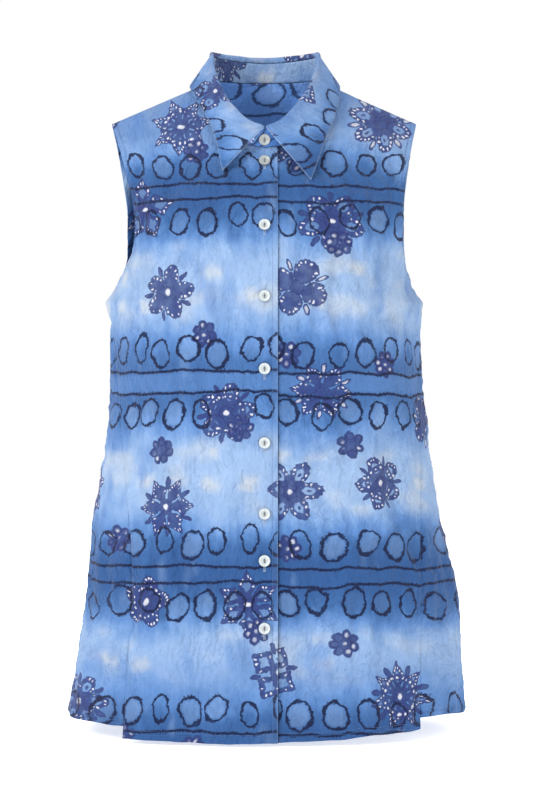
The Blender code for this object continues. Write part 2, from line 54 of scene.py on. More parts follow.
# ---- the garment's form ----
form = {
    "boxy": 2.25,  # power of the body's section, 2 is an ellipse
    "lap": 0.0128, "lapStep": 0.0030, "lapBlend": 0.030,
    "underarm": -0.231, "ventTop": -0.628, "ventBlend": 0.04,
    "seamRoom": 0.0011,  # between two sewn edges, which their folds then fill
    "ventRoom": 0.0016,
    "neckHalf": 0.063, "neckY": 0.003, "neckFront": 0.086, "neckBack": 0.067,
    "standLapRight": 0.0165, "standLapLeft": 0.0125,
    "bend": (24, 90), "bendPower": 1.2,  # degrees that a row turns through, at the shoulder and the underarm
    "armDip": 0.32,  # how much later the rows drop toward the armhole, at most
    "foldRun": 0.24,  # a soft fold grows over this height from its top down
    "hemWave": 0.0011, "hemRise": 0.0007,
}
tables = {  # millimetres and degrees
    "levels": ("z right left seamRight seamLeft", (
        (-231, 169, 168.5, 90, 90), (-255, 164, 165.5, 84, 86.5), (-310, 163.8, 168.4, 73, 79),
        (-350, 167.2, 172.2, 65, 73), (-400, 173.8, 178.5, 56.5, 65.5), (-450, 181.2, 186.8, 50, 59.5),
        (-500, 188, 196.1, 45.5, 54.5), (-550, 193, 206.2, 43.5, 50.5), (-600, 200, 209.5, 42.8, 48.5),
        (-650, 206, 211.5, 42.3, 47.5), (-690, 210.5, 214.5, 42, 46.8))),
    "frontDepth": ("z depth", (
        (-71, 83), (-110, 103), (-150, 118), (-190, 127.5), (-231, 131), (-310, 130), (-400, 132),
        (-500, 138), (-600, 146), (-690, 152))),
    "backDepth": ("z depth", (
        (15, 70), (-20, 85), (-60, 97), (-100, 104), (-150, 108), (-231, 105), (-310, 100), (-400, 105),
        (-500, 118), (-600, 134), (-690, 146))),
    "neckHeight": ("angle z", (
        (0, 15), (40, 14.5), (70, 12), (90, 7), (110, -12), (130, -35), (150, -56.5), (165, -67.8),
        (180, -71))),
    "armFront": ("xRight yRight zRight xLeft yLeft zLeft", (
        (165.2, 5, -36.7, 163, 5, -36.7), (154.6, -25, -68.3, 155.1, -25, -71.1),
        (145.6, -45, -102.7, 150.9, -38, -91.3), (138.7, -55, -125.2, 148.4, -50, -110.8),
        (137.1, -60, -152.5, 146.5, -59, -139.1), (140, -57, -176.7, 146.7, -58, -172),
        (147.6, -45, -192.5, 149, -48, -191), (156.8, -25, -213, 156, -25, -214),
        (169, 0, -231, 168.5, 0, -231))),
    "armBack": ("y z xRight xLeft", (
        (5, -36.7, 165.2, 163), (30, -60, 161, 159.5), (50, -95, 155.5, 155), (63, -135, 151.5, 152),
        (61, -170, 151.5, 152), (38, -206, 157, 157.5), (0, -231, 169, 168.5))),
    "hemFront": ("angle z", (
        (-45, -684.6), (-25, -685.3), (-5, -686.2), (8, -684.2), (20, -682.6), (30, -678.4), (40, -678.5),
        (50, -675))),
    "hemBack": ("angle z", (
        (-180, -674), (-135, -673.5), (-90, -671.5), (-42, -671.8), (45, -664.5), (90, -668), (135, -671.5),
        (180, -674))),
    "folds": ("angle spread out top", (
        (-152, 9, 6, -400), (-128, 8, -5.5, -430), (-108, 9, 5, -380), (-74, 8, 3, -450),
        (-58, 6, -4, -500), (-36, 7, 2.5, -420), (-19, 6, -2.2, -360), (-8, 6, 1.8, -500),
        (14, 6, -2, -300), (27, 6, 2.4, -330), (38, 5, -2.6, -520), (62, 7, -3.5, -480), (80, 8, 3, -440),
        (112, 9, 5.5, -400), (134, 8, -5.5, -360), (157, 9, 6, -420), (179, 9, -6, -380))),
    "stand": ("angle height lean", (
        (0, 21, -1.5), (60, 23.8, -5), (90, 26.2, -7.8), (120, 28.5, -4.8), (140, 28.5, -0.8), (155, 26, 1),
        (168, 22, 1.8), (180, 19, 2))),
    "fall": ("angle rise roll xRight yRight zRight xLeft yLeft zLeft", (
        (0, 6, 2.4, 0, 83, -2, 0, 83, -2), (35, 5.8, 2.4, 47, 69, -2.5, 47, 69, -2.5),
        (60, 5.6, 2.4, 69, 46, 3, 69, 46, 3), (78, 5.4, 2.4, 79, 21, 5, 78.5, 21, 5),
        (90, 5.2, 2.4, 81.5, 4, 4, 81, 4, 4), (118, 4.2, 2.4, 76, -25, -10, 79.5, -26.5, -13.5),
        (140, 3.4, 2.2, 65.5, -50, -28.5, 72.5, -53, -37.5),
        (155, 2.8, 2, 59.5, -65, -39.5, 65.5, -69, -55), (168, 2.4, 2.2, 52, -82, -60, 59, -84.5, -74.5),
        (179, 2, 2.2, 44.8, -97.5, -96, 48, -103, -106))),
}
degrees = ("angle", "spread", "seamRight", "seamLeft")
for table, (names, rows) in tables.items():  # each becomes its columns by name, in metres
    form[table] = {name: column / (1 if name in degrees else 1000)
                   for name, column in zip(names.split(), np.array(rows, float).T)}
sideName = {-1: "Right", 1: "Left"}


def smoothRead(x, y, at):  # smooth between the points, without overshoot
    if x[0] > x[-1]:
        x, y = x[::-1], y[::-1]
    at = np.clip(at, x[0], x[-1])
    step = np.diff(x)
    slope = np.diff(y) / step
    tangent = np.concatenate((slope[:1], np.zeros(len(x) - 2), slope[-1:]))
    for i in range(1, len(x) - 1):
        if slope[i - 1] * slope[i] > 0:
            w1, w2 = 2 * step[i] + step[i - 1], step[i] + 2 * step[i - 1]
            tangent[i] = (w1 + w2) / (w1 / slope[i - 1] + w2 / slope[i])
    i = np.clip(np.searchsorted(x, at, side="right") - 1, 0, len(x) - 2)
    t = (at - x[i]) / step[i]
    return ((1 + 2 * t) * (1 - t) ** 2 * y[i] + t * (1 - t) ** 2 * step[i] * tangent[i]
            + t * t * (3 - 2 * t) * y[i + 1] + t * t * (t - 1) * step[i] * tangent[i + 1])


def read(table, name, at):  # a column of a table, at this value of its first one
    columns = form[table]
    return smoothRead(next(iter(columns.values())), columns[name], at)


def ease(low, high, at):
    t = np.clip((np.asarray(at, float) - low) / (high - low), 0, 1)
    return t * t * (3 - 2 * t)


def unit(v):
    return v / np.maximum(np.linalg.norm(v, axis=-1, keepdims=True), 1e-12)


def runOf(pts, axis=0):  # distance along a line of points, or along a grid's lines
    steps = np.cumsum(np.linalg.norm(np.diff(pts, axis=axis), axis=-1), axis=axis)
    return np.concatenate((np.zeros_like(np.take(steps, [0], axis)), steps), axis=axis)


def pointsAt(at, run, pts):
    return np.stack([np.interp(at, run, column) for column in pts.T], axis=1)


def grain(u, v, across, along, seed):  # smooth noise from -1 to 1, with grains of this size
    table = np.random.RandomState(seed).uniform(-1, 1, (64, 64))
    a, b = u / across, v / along
    i, j = np.floor(a).astype(int), np.floor(b).astype(int)
    p, q = a - i, b - j
    p, q = p ** 3 * (p * (p * 6 - 15) + 10), q ** 3 * (q * (q * 6 - 15) + 10)
    i0, i1, j0, j1 = i % 64, (i + 1) % 64, j % 64, (j + 1) % 64
    low = table[i0, j0] * (1 - p) + table[i1, j0] * p
    return low * (1 - q) + (table[i0, j1] * (1 - p) + table[i1, j1] * p) * q


def neckTurn(angle):
    return 180 - abs(180 - abs(angle))


def neckPoint(angle):  # degrees from the centre back, the wearer's left positive
    a = math.radians(angle)
    deep = form["neckBack"] if math.cos(a) > 0 else form["neckFront"]
    return np.array((form["neckHalf"] * math.sin(a), form["neckY"] + deep * math.cos(a),
                     read("neckHeight", "z", neckTurn(angle))))


def neckOutward(angle):
    a = math.radians(angle)
    deep = form["neckBack"] if math.cos(a) > 0 else form["neckFront"]
    return unit(np.array((math.sin(a) / form["neckHalf"], math.cos(a) / deep, 0.0)))


def armholePoint(panel, side, share):
    table = form["arm" + panel]
    columns = [table.get(axis + sideName[side], table.get(axis)) for axis in "xyz"]
    pts = np.stack(columns, axis=1) * (side, 1, 1)
    run = runOf(pts)
    return np.array([smoothRead(run / run[-1], column, share) for column in pts.T])


def rowBetween(a, b, bend, dip, follow):
    # a line from a, at the neck or the centre, round the body to b at the armhole
    whole = math.radians(bend)
    power = 2 / form["boxy"]
    across = (np.sin(whole * np.linspace(0, 1, 420)) / math.sin(whole)) ** power
    x = a[0] + (b[0] - a[0]) * across
    start = 0.0 if a[0] * b[0] < 0 else a[0]
    bent = np.clip((x - start) / (b[0] - start), 0, 1)
    angle = np.arcsin(np.clip(bent ** (1 / power) * math.sin(whole), 0, 1))
    turned = (1 - np.cos(angle) ** power) / (1 - math.cos(whole) ** power)
    z = a[2] + (b[2] - a[2]) * across ** dip
    depth = read("frontDepth", "depth", a[2])
    near = np.full(len(x), a[1])
    if a[0] * b[0] < 0:
        near = -depth + (a[1] + depth) * np.clip(x / a[0], 0, 1) ** 2
    near = near - follow * (read("frontDepth", "depth", z) - depth)
    return np.stack((x, near + (b[1] - near) * turned, z), axis=1)


def skirtLine(panel, side, down):  # a level line below the underarm, centre to side seam
    underarm, power = form["underarm"], 2 / form["boxy"]
    name = sideName[side]
    z = underarm + down * (read("hem" + panel, "z", side * 45) - underarm)
    half, seam = read("levels", name.lower(), z), read("levels", "seam" + name, z)
    front, back = read("frontDepth", "depth", z), read("backDepth", "depth", z)
    angle = np.linspace(0.0 if panel == "Front" else 180.0, seam, 600)
    a = np.radians(angle)
    x = side * half * np.abs(np.sin(a)) ** power
    y = np.where(angle < 90, -front, back) * np.abs(np.cos(a)) ** power
    if panel == "Front":  # both fronts reach past the centre line
        ahead = np.linspace(-form["lap"] * side, 0, 21)[:-1]
        x, y = np.append(ahead, x), np.append(np.full(20, -front), y)
        angle = np.append(np.degrees(np.arcsin(ahead / half)) * side, angle)
    height = underarm + down * (read("hem" + panel, "z", side * angle) - underarm)
    out = np.zeros(len(angle))
    for at, spread, depth, top in zip(*form["folds"].values()):
        gap = (side * angle - at + 180) % 360 - 180
        out += depth * ease(-top, form["foldRun"] - top, -height) * np.exp(-(gap / spread) ** 2)
    normal = unit(np.stack((x / half ** 2, y / np.where(y < 0, front, back) ** 2), axis=1))
    vent = ease(-form["ventTop"], form["ventBlend"] - form["ventTop"], -z)
    apart = form["seamRoom"] + (form["ventRoom"] - form["seamRoom"]) * vent
    run = runOf(np.stack((x, y), axis=1))
    wave = grain(run + side * 0.7 + (0.4 if panel == "Back" else 0), run * 0, 0.013, 1.0, 91) * 0.6
    wave = (wave + grain(run + side * 0.3, run * 0, 0.034, 1.0, 92)) * ease(0.93, 1.0, down)
    out = out + form["hemWave"] * wave
    line = np.stack((x + out * normal[:, 0], y + out * normal[:, 1], height + form["hemRise"] * wave), axis=1)
    return line, apart / 2


# ---- fine grids of the three panels ----
fine = {"Front": (44, 44, 100), "Back": (20, 54, 78),  # rows along the neck, rows below it, columns
        "skirtRows": 190, "lapCols": 7}


def panelGrid(panel, side):
    front = panel == "Front"
    neckRows, chestRows, cols = fine[panel]
    facing = 1 if front else -1
    upper = neckRows + chestRows
    even = np.linspace(0, 1, cols)
    ends = 180 + math.degrees(math.asin(form["lap"] / form["neckHalf"])) if front else 0
    corner = neckPoint(side * ends)
    rows = []

    def shares(length, towardSkirt):  # the columns past the centre line keep their own width
        if not front:
            return even
        lap = form["lap"] / length
        split = np.concatenate((np.linspace(0, lap, fine["lapCols"] + 1)[:-1],
                                np.linspace(lap, 1, cols - fine["lapCols"])))
        return even + (split - even) * towardSkirt

    for i in range(upper):
        share = i / upper
        if i <= neckRows:
            a = neckPoint(side * (90 + (ends - 90) * i / neckRows))
        else:
            z = corner[2] + (form["underarm"] - corner[2]) * (i - neckRows) / chestRows
            a = np.array((corner[0], -facing * read(panel.lower() + "Depth", "depth", z), z))
        bend = form["bend"][0] + (form["bend"][1] - form["bend"][0]) * share ** form["bendPower"]
        dip = 1 - form["armDip"] * math.sin(math.pi * min(share / 0.9, 1)) if front else 1.0
        follow = min(1.0, i / neckRows) ** 4 if front else 0.0
        line = rowBetween(a, armholePoint(panel, side, share), bend, dip, follow)
        line[:, 1] -= facing * form["seamRoom"] / 2 * (1 - share) ** 8
        run = runOf(line)
        rows.append(pointsAt(shares(run[-1], ease(neckRows, upper, i)) * run[-1], run, line))
    for i in range(fine["skirtRows"] + 1):
        line, trim = skirtLine(panel, side, i / fine["skirtRows"])
        run = runOf(line)
        rows.append(pointsAt(shares(run[-1], 1.0) * (run[-1] - trim), run, line))
    rows = np.array(rows)
    if front and side > 0:  # the left front passes behind the right one
        behind = 1 - ease(form["lap"], form["lap"] + form["lapBlend"], rows[:, :, 0])
        rows[:, :, 1] += form["lapStep"] * behind * ease(-0.02, 0.05, -rows[:, :, 2])
    return rows


def gridNormals(grid, sign):
    return unit(np.cross(np.gradient(grid, axis=1), np.gradient(grid, axis=0))) * sign


# ---- creases and crumple ----
crumple = {
    # noise: height, grain across, grain down, seed; the bend shifts the other three sideways
    "bend": (0.012, 0.05, 0.06, 3), "soft": (0.0019, 0.030, 0.075, 11),
    "ridged": (0.0030, 0.017, 0.038, 23), "small": (0.0018, 0.010, 0.021, 31),
    "pucker": (0.00045, 0.0032, 0.02),  # along sewn edges
    "creaseGain": 2.1, "edgeBlend": 0.004,
    # creases in millimetres, seen from the front or from behind: x0 z0 x1 z1 width depth
    "front": (
        (-36.2, -95, -28.9, -128.1, 2.2, -1.1), (-42, -98.5, -40, -124, 2.2, 0.8),
        (-161.2, -599.4, -160, -635, 5, -1.8), (-133.3, -550, -134, -580, 4, -1.2),
        (-96.1, -364, -93, -435, 4.5, -1.3), (-84.8, -460, -84, -550, 5.5, -1.5),
        (38.2, -175, 39, -270, 5, -1.1), (54.8, -185, 53, -260, 4.5, -1), (76.5, -172, 74.5, -268, 5, -1.2),
        (-74, -640, -38, -611, 5, -1.6), (-56, -648, -30, -633, 4, 1.2), (115, -617, 156, -636, 4.5, -1.4),
        (-130, -190, -112, -220, 5, -1.4), (-145, -245, -108, -272, 6, -1.4),
        (140, -242, 108, -266, 5.5, -1.3), (133, -175, 118, -208, 4.5, -1.2),
        (-121, -410, -130, -470, 5.5, -1.4), (130, -390, 142, -470, 6, -1.6), (88, -355, 83, -415, 5, -1.2),
        (-52, -225, -39, -270, 4.5, -1.1), (100, -530, 93, -600, 5.5, -1.4), (37, -585, 41, -640, 5, -1.2),
        (-108, -120, -92, -145, 4.5, 1), (106, -115, 95, -150, 4.5, 1), (20, -415, 33, -455, 4, -1),
        (-25, -520, -31, -570, 4, -1), (62, -450, 56, -515, 5, 1.1), (-110, -615, -80, -626, 4.5, 1.2)),
    "back": (
        (-130, -150, -105, -205, 6, -1.6), (132, -145, 108, -200, 6, -1.5), (-60, -180, -52, -290, 7, -1.4),
        (50, -165, 57, -275, 7, -1.4), (5, -250, -5, -360, 7, 1.3), (-115, -270, -90, -300, 5, -1.4),
        (115, -275, 85, -305, 5.5, -1.3), (-30, -60, -45, -120, 5, -1), (35, -50, 48, -115, 5, -1),
        (-125, -390, -118, -470, 6, -1.6), (125, -410, 116, -495, 6, -1.6), (-30, -470, -40, -550, 6, 1.3),
        (45, -490, 55, -580, 6, -1.3), (-100, -590, -65, -615, 5, -1.5), (90, -605, 125, -620, 5, 1.3),
        (0, -600, 12, -655, 5, -1.2)),
}


def creaseHeights(x, z, panel):
    total = np.zeros_like(x)
    for x0, z0, x1, z1, width, depth in np.array(crumple[panel]) / 1000:
        dx, dz = x1 - x0, z1 - z0
        length = math.hypot(dx, dz)
        along = ((x - x0) * dx + (z - z0) * dz) / length
        bow = 0.06 * length * np.sin(np.pi * np.clip(along / length, 0, 1))
        off = (((x - x0) * dz - (z - z0) * dx) / length - bow) / width
        taper = ease(-0.25 * length, 0.35 * length, along) * (1 - ease(0.6 * length, 1.3 * length, along))
        # a narrow trough with a low shoulder beside it
        total += depth * taper * (np.exp(-off ** 2) - 0.35 * np.exp(-((off - 2.2) / 1.6) ** 2))
    return total


def crumpleHeights(grid, panel, edgeGap):
    def noise(name, u, v):
        _, across, down, seed = crumple[name]
        return grain(u + shift, v, across, down, seed)

    x, y, z = grid[..., 0], grid[..., 1], grid[..., 2]
    u = np.arctan2(x, np.abs(y) + 0.02) * 0.17
    shift = 0.37 if panel == "back" else 0.0
    bend = crumple["bend"][0] * noise("bend", u, z)
    height = crumple["soft"][0] * noise("soft", u + bend, z)
    height += crumple["creaseGain"] * creaseHeights(x, z, panel)
    height += crumple["ridged"][0] * (0.5 - np.abs(noise("ridged", u + bend * 1.6, z + bend)))
    height += crumple["small"][0] * (0.5 - np.abs(noise("small", u - bend + 0.4 * z, z - 0.5 * u)))
    # the collar and the row of buttons lie close over the cloth there
    calm = 0.25 + 0.75 * ease(0.075, 0.125, -z + 0.35 * np.abs(x))
    if panel == "front":
        calm = calm * (0.22 + 0.78 * ease(0.014, 0.026, np.abs(x)))
    return height * calm * ease(0.0, crumple["edgeBlend"], edgeGap)


# ---- meshes ----
turn = {"gap": 0.00082, "bulge": 0.00030,
        "fold": ((0.75, 0.22), (1.0, 0.5), (0.7, 0.82)),  # shares of the bulge and the gap, round the fold
        "steps": (0.30, 0.65, 1.0)}  # shares of the turning's width


def turnedEdge(grid, normals, width, first=False, axis=0):
    # Adds rows past the last one, or the first: over the fold and back along the inside. grid holds
    # x y z and the cloth's own coordinates; width is the turning's, along the edge.
    def facing(values):
        values = values.transpose(1, 0, 2) if axis else values
        return values[::-1] if first else values

    def back(values):
        values = values[::-1] if first else values
        return values.transpose(1, 0, 2) if axis else values

    grid, normals = facing(grid), facing(normals)
    edge, inner = grid[-1], grid[-2]
    outward = unit(edge[:, :3] - inner[:, :3])
    spacing = np.linalg.norm(edge[:, :3] - inner[:, :3], axis=1)
    cols = np.arange(grid.shape[1])
    added = []
    for out, deep in turn["fold"]:
        row = edge.copy()
        row[:, :3] += outward * (turn["bulge"] * out) - normals[-1] * (turn["gap"] * deep)
        added.append(row)
    for part in turn["steps"]:
        at = len(grid) - 1 - np.clip(width * part / spacing, 0.2, len(grid) - 2)
        low = np.floor(at).astype(int)
        t = (at - low)[:, None]
        row = grid[low, cols] * (1 - t) + grid[low + 1, cols] * t
        row[:, :3] -= normals[low, cols] * turn["gap"]
        row[:, 3:5] = 2 * edge[:, 3:5] - row[:, 3:5]
        added.append(row)
    return (back(np.concatenate((grid, added))),
            back(np.concatenate((normals, np.repeat(normals[-1:], len(added), axis=0)))))


def gridFaces(grid, flip, offset=0):
    rows, cols = grid.shape[:2]
    r, c = np.meshgrid(np.arange(rows - 1), np.arange(cols - 1), indexing="ij")
    a = (offset + r * cols + c).ravel()
    faces = np.stack((a, a + 1, a + cols + 1, a + cols), axis=1)
    return faces[:, ::-1] if flip else faces


def placed(name, data, materials=()):
    made = bpy.data.objects.new(name, data)
    bpy.context.scene.collection.objects.link(made)
    for material in materials:
        data.materials.append(material)
    return made


def meshPiece(name, points, faces, layers, materials=(), drawn=None):
    # drawn gives the rows of the layers that each face's corners take, where they aren't the points'
    mesh = bpy.data.meshes.new(name)
    mesh.from_pydata(points.tolist(), [], faces)
    corners = np.empty(len(mesh.loops), dtype=np.int32)
    mesh.loops.foreach_get("vertex_index", corners)
    if drawn is not None:
        corners = drawn.ravel()
    for layerName, values in layers.items():
        layer = mesh.uv_layers.new(name=layerName)
        layer.data.foreach_set("uv", values[corners].astype(np.float32).ravel())
    mesh.shade_smooth()
    mesh.update()
    return placed(name, mesh, materials)


def thicken(made, thickness, edges=None):  # the wall grows to both sides of the made surface
    wall = made.modifiers.new("wall", "SOLIDIFY")
    wall.thickness = thickness
    wall.offset = 0.0
    wall.material_offset = 1
    if edges is not None:  # thinner toward the edges, so that they look pressed round
        group = made.vertex_groups.new(name="body")
        for weight in sorted(set(np.round(edges, 2))):
            group.add(np.nonzero(np.round(edges, 2) == weight)[0].tolist(), float(weight), "REPLACE")
        wall.vertex_group = "body"
        wall.thickness_vertex_group = 0.25
    return made


# ---- shader expressions ----
class Field:  # a value or colour that varies over the surface
    def __init__(self, paint, socket):
        self.paint, self.socket = paint, socket

    def op(self, operation, *others):
        return self.paint.maths(operation, self, *others)

    def out(self, name):  # another output of the same node
        return Field(self.paint, self.socket.node.outputs[name])

    __add__ = __radd__ = lambda self, other: self.op("ADD", other)
    __mul__ = __rmul__ = lambda self, other: self.op("MULTIPLY", other)
    __sub__ = lambda self, other: self.op("SUBTRACT", other)
    __rsub__ = lambda self, other: self.paint.maths("SUBTRACT", other, self)
    __truediv__ = lambda self, other: self.op("DIVIDE", other)
    __mod__ = lambda self, other: self.op("FLOORED_MODULO", other)
    __pow__ = lambda self, other: self.op("POWER", other)
    __lt__ = lambda self, other: self.op("LESS_THAN", other)
    __gt__ = lambda self, other: self.op("GREATER_THAN", other)
    __abs__ = lambda self: self.op("ABSOLUTE")
    __floor__ = lambda self: self.op("FLOOR")


def highest(first, *others):
    for other in others:
        first = first.op("MAXIMUM", other)
    return first


def rise(low, high, value):  # eases from 0 to 1 between these two values
    return value.paint.node("ShaderNodeMapRange", {"interpolation_type": "SMOOTHSTEP"},
                            {"Value": value, "From Min": low, "From Max": high})


def fall(low, high, value):
    return 1.0 - rise(low, high, value)


class Paint:  # one material and its nodes
    def __init__(self, name):
        self.material = bpy.data.materials.new(name)
        self.material.use_nodes = True
        self.tree = self.material.node_tree
        self.shader = self.tree.nodes["Principled BSDF"]

    def node(self, kind, settings=None, inputs=None, output=0):
        made = self.tree.nodes.new(kind)
        for key, value in (settings or {}).items():
            if key == "stops":
                ramp = made.color_ramp
                while len(ramp.elements) < len(value):
                    ramp.elements.new(1.0)
                for element, (at, colour) in zip(ramp.elements, value):
                    element.position, element.color = at, colour
            else:
                setattr(made, key, value)
        for key, value in (inputs or {}).items():
            self.plug(made.inputs[key], value)
        return Field(self, made.outputs[output])

    def plug(self, socket, value):
        if isinstance(value, Field):
            self.tree.links.new(value.socket, socket)
        else:
            socket.default_value = value

    def finish(self, values):  # plugs what the shader's own sockets take
        for name, value in values.items():
            self.plug(self.shader.inputs[name], value)
        return self.material

    def maths(self, operation, *values):
        return self.node("ShaderNodeMath", {"operation": operation}, dict(enumerate(values)))

    def uv(self, name):  # a layer's two coordinates, in millimetres
        layer = self.node("ShaderNodeUVMap", {"uv_map": name})
        parts = self.node("ShaderNodeSeparateXYZ", None, {0: layer})
        return parts.out("X"), parts.out("Y")

    def vector(self, x, y, z=0.0):
        return self.node("ShaderNodeCombineXYZ", None, {0: x, 1: y, 2: z})

    def noise(self, x, y, z=0.0, detail=2.0, rough=0.5):
        return self.node("ShaderNodeTexNoise", {"noise_dimensions": "3D"},
                         {"Vector": self.vector(x, y, z), "Scale": 1.0, "Detail": detail, "Roughness": rough})

    def cloth(self, across, down, seed, detail=2.0, rough=0.5):
        # noise over the cloth that joins up where the print has gone once round the body
        x, y, v = self.round
        return self.noise(x * across, y * across, v * down + seed * 13.7, detail, rough)

    def spread(self, across, down, seed, detail=2.0, rough=0.5):
        return self.cloth(across, down, seed, detail, rough) - 0.5

    def chance(self, x, y, seed):  # four random numbers for each cell
        made = self.node("ShaderNodeTexWhiteNoise", {"noise_dimensions": "3D"},
                         {"Vector": self.vector(x, y, seed)})
        parts = self.node("ShaderNodeSeparateColor", None, {0: made.out("Color")})
        return made.out("Value"), parts.out("Red"), parts.out("Green"), parts.out("Blue")

    def mix(self, a, b, share):
        return self.node("ShaderNodeMix", {"data_type": "RGBA"}, {0: share, 6: a, 7: b}, 2)

    def scaled(self, colour, by):
        return self.node("ShaderNodeVectorMath", {"operation": "SCALE"}, {0: colour, "Scale": by})


def srgb(r, g, b, gain=1.0):  # a colour as 0 to 255 becomes a linear one
    linear = [c / 255 / 12.92 if c <= 10.31 else ((c / 255 + 0.055) / 1.055) ** 2.4 for c in (r, g, b)]
    return (*(min(1.0, gain * c) for c in linear), 1.0)


# ---- the printed cloth ----
dye = {
    "gain": 0.65,  # the cloth's own colour against the one that the camera sees
    "deep": (46, 89, 148), "band": (59, 104, 163), "edge": (93, 137, 198), "wash": (124, 162, 213),
    "light": (148, 179, 221), "pale": (156, 185, 224), "cream": (200, 208, 217), "cast": (80, 123, 184),
    "ink": (6, 20, 62), "motif": (46, 60, 122), "motifDark": (28, 36, 88), "bead": (232, 234, 244),
    "worn": (186, 210, 242),
    # what the dye has become this far from a band's middle, as a share of the reach, millimetres
    "reach": 110.0, "fading": ((0.06, "deep"), (0.26, "band"), (0.40, "edge"), (0.51, "wash"),
                               (0.64, "light"), (0.95, "pale")),
    "ringUp": 31.0, "lineApart": 8.0,  # millimetres from the middle of a pair of lines
    "round": 800.0,  # the print repeats after this length, once round the body
    "rings": 25, "patches": (20, 31.0),  # rings in a row; pale patches in a row, and their rows' height
}


def dyed(name):
    return srgb(*dye[name], gain=dye["gain"])


def dyedBase(p, u, v, phase, local):
    # phase counts the pairs of lines, one at the middle of each dark band
    row = phase.op("ROUND")
    off = (phase - row) * local  # millimetres below the nearest pair
    waist = row.op("COMPARE", 1.0, 0.4)  # that band came out paler
    wide = p.spread(0.013, 0.007, 1.0)
    blot = p.spread(0.034, 0.030, 2.0, 3.0, 0.6)
    streak = p.spread(0.085, 0.012, 3.0, 3.0, 0.6)
    hair = p.spread(0.40, 0.06, 4.0, 2.0, 0.6)
    reach = abs(off) + wide * 52.0 + streak * 24.0 + blot * 36.0
    base = p.node("ShaderNodeValToRGB", {"stops": [(at, dyed(name)) for at, name in dye["fading"]]},
                  {0: reach / dye["reach"]})
    lightZone = rise(48.0, 76.0, abs(off) + wide * 20.0)
    # soft pale places where the dye did not reach, and blue stains between them
    around, tall = dye["patches"]
    cellU, cellV = math.floor(u / (dye["round"] / around)), math.floor(v / tall)
    here, shiftU, shiftV, _ = p.chance(cellU % around, cellV, 60.0)
    boxU = abs(u / (dye["round"] / around) - cellU - 0.5 + (shiftU - 0.5) * 0.3)
    boxV = abs(v / tall - cellV - 0.5 + (shiftV - 0.5) * 0.3)
    frayU, frayV = p.cloth(0.06, 0.06, 6.0) * 0.6, p.cloth(0.05, 0.07, 7.0) * 0.6
    square = fall(0.32, 0.74, boxU + frayU) * fall(0.30, 0.72, boxV + frayV) * (here < 0.30)
    cloud = rise(0.50, 0.72, p.cloth(0.017, 0.026, 8.0, 1.5) + streak * 0.18)
    base = p.mix(base, dyed("cream"), highest(square * 0.80, cloud * 0.52) * lightZone)
    stain = rise(0.52, 0.70, p.cloth(0.030, 0.016, 9.0) + streak * 0.30)
    base = p.mix(base, dyed("edge"), stain * lightZone * 0.60)
    base = p.mix(base, dyed("cast"), fall(15.0, 95.0, v + blot * 60.0) * 0.74)  # darker shoulders: partly the dye, partly painted shade against the lamps from above
    lowShade = rise(570.0, 640.0, v + blot * 60.0) * 0.50
    base = p.mix(base, dyed("edge"), lowShade * rise(20.0, 45.0, abs(off)))
    faded = waist * ((1.0 - lightZone) * 0.22 + fall(6.0, 13.0, abs(off)) * 0.42)
    base = p.mix(base, dyed("edge"), faded)
    base = p.mix(base, dyed("light"), rise(0.60, 0.80, p.cloth(0.035, 0.016, 10.0)) * 0.30)
    return p.scaled(base, 1.0 + streak * 0.18 + hair * 0.07 + blot * 0.24), row, off


def barbs(p, scale, seed):  # short bristles along drawn lines
    fine = p.cloth(0.55 * scale, 0.55, seed, 1.0, 0.7)
    return rise(0.50, 0.72, fine) * 1.35 + p.spread(1.2, 1.2, seed + 3.0, 1.0) * 1.4


def ringMask(p, u, row, off):  # two rows of drawn rings beside each pair of lines
    below = off > 0.0
    line = row * 2.0 + below
    _, rowRandom, _, _ = p.chance(line, 0.0, 4.0)
    pitch = dye["round"] / dye["rings"]
    at = u / pitch + 0.5 * below
    cell = math.floor(at)
    _, wideRandom, tallRandom, moveRandom = p.chance(cell % dye["rings"], line, 8.0)
    _, acrossRandom, gapRandom, lean = p.chance(cell % dye["rings"], line, 15.0)
    wobX, wobY = (p.spread(0.10, 0.10, seed, 2.0, 0.6) * 8.0 for seed in (31.0, 47.0))
    y = abs(off) - dye["ringUp"] + (moveRandom - 0.5) * 9.0 + (rowRandom - 0.5) * 6.0 + wobY
    x = (at - cell - 0.5) * pitch + (acrossRandom - 0.5) * 7.0 + wobX + y * (lean - 0.5) * 0.35
    halfWide, halfTall = 8.4 + wideRandom * 4.4, 12.0 + tallRandom * 3.0
    away = ((x / halfWide) ** 2.0 + (y / halfTall) ** 2.0) ** 0.5
    heavy = rise(0.48, 0.72, p.cloth(0.06, 0.06, 60.0, 1.0))
    ring = fall(0.60, 1.45, abs(away - 1.0) * 11.5 - barbs(p, 1.0, 3.0) * 0.85 - heavy)
    inside = fall(0.60, 1.0, away) * rise(0.35, 0.9, wideRandom)
    keep = gapRandom < 0.95
    return ring * keep, inside * keep


def lineMask(p, row, off):  # two rough lines drawn right across, wider apart at the waist
    apart = dye["lineApart"] + row.op("COMPARE", 1.0, 0.4) * 2.6
    wander = p.spread(0.012, 0.0, 70.0) * 26.0 + p.spread(0.10, 0.0, 71.0) * 4.0
    upper = abs(off + apart + wander)
    lower = abs(off - apart + wander + p.spread(0.010, 0.0, 73.0, 1.0) * 16.0)
    return fall(0.85, 1.60, upper.op("MINIMUM", lower) - barbs(p, 1.5, 5.0) * 1.15)


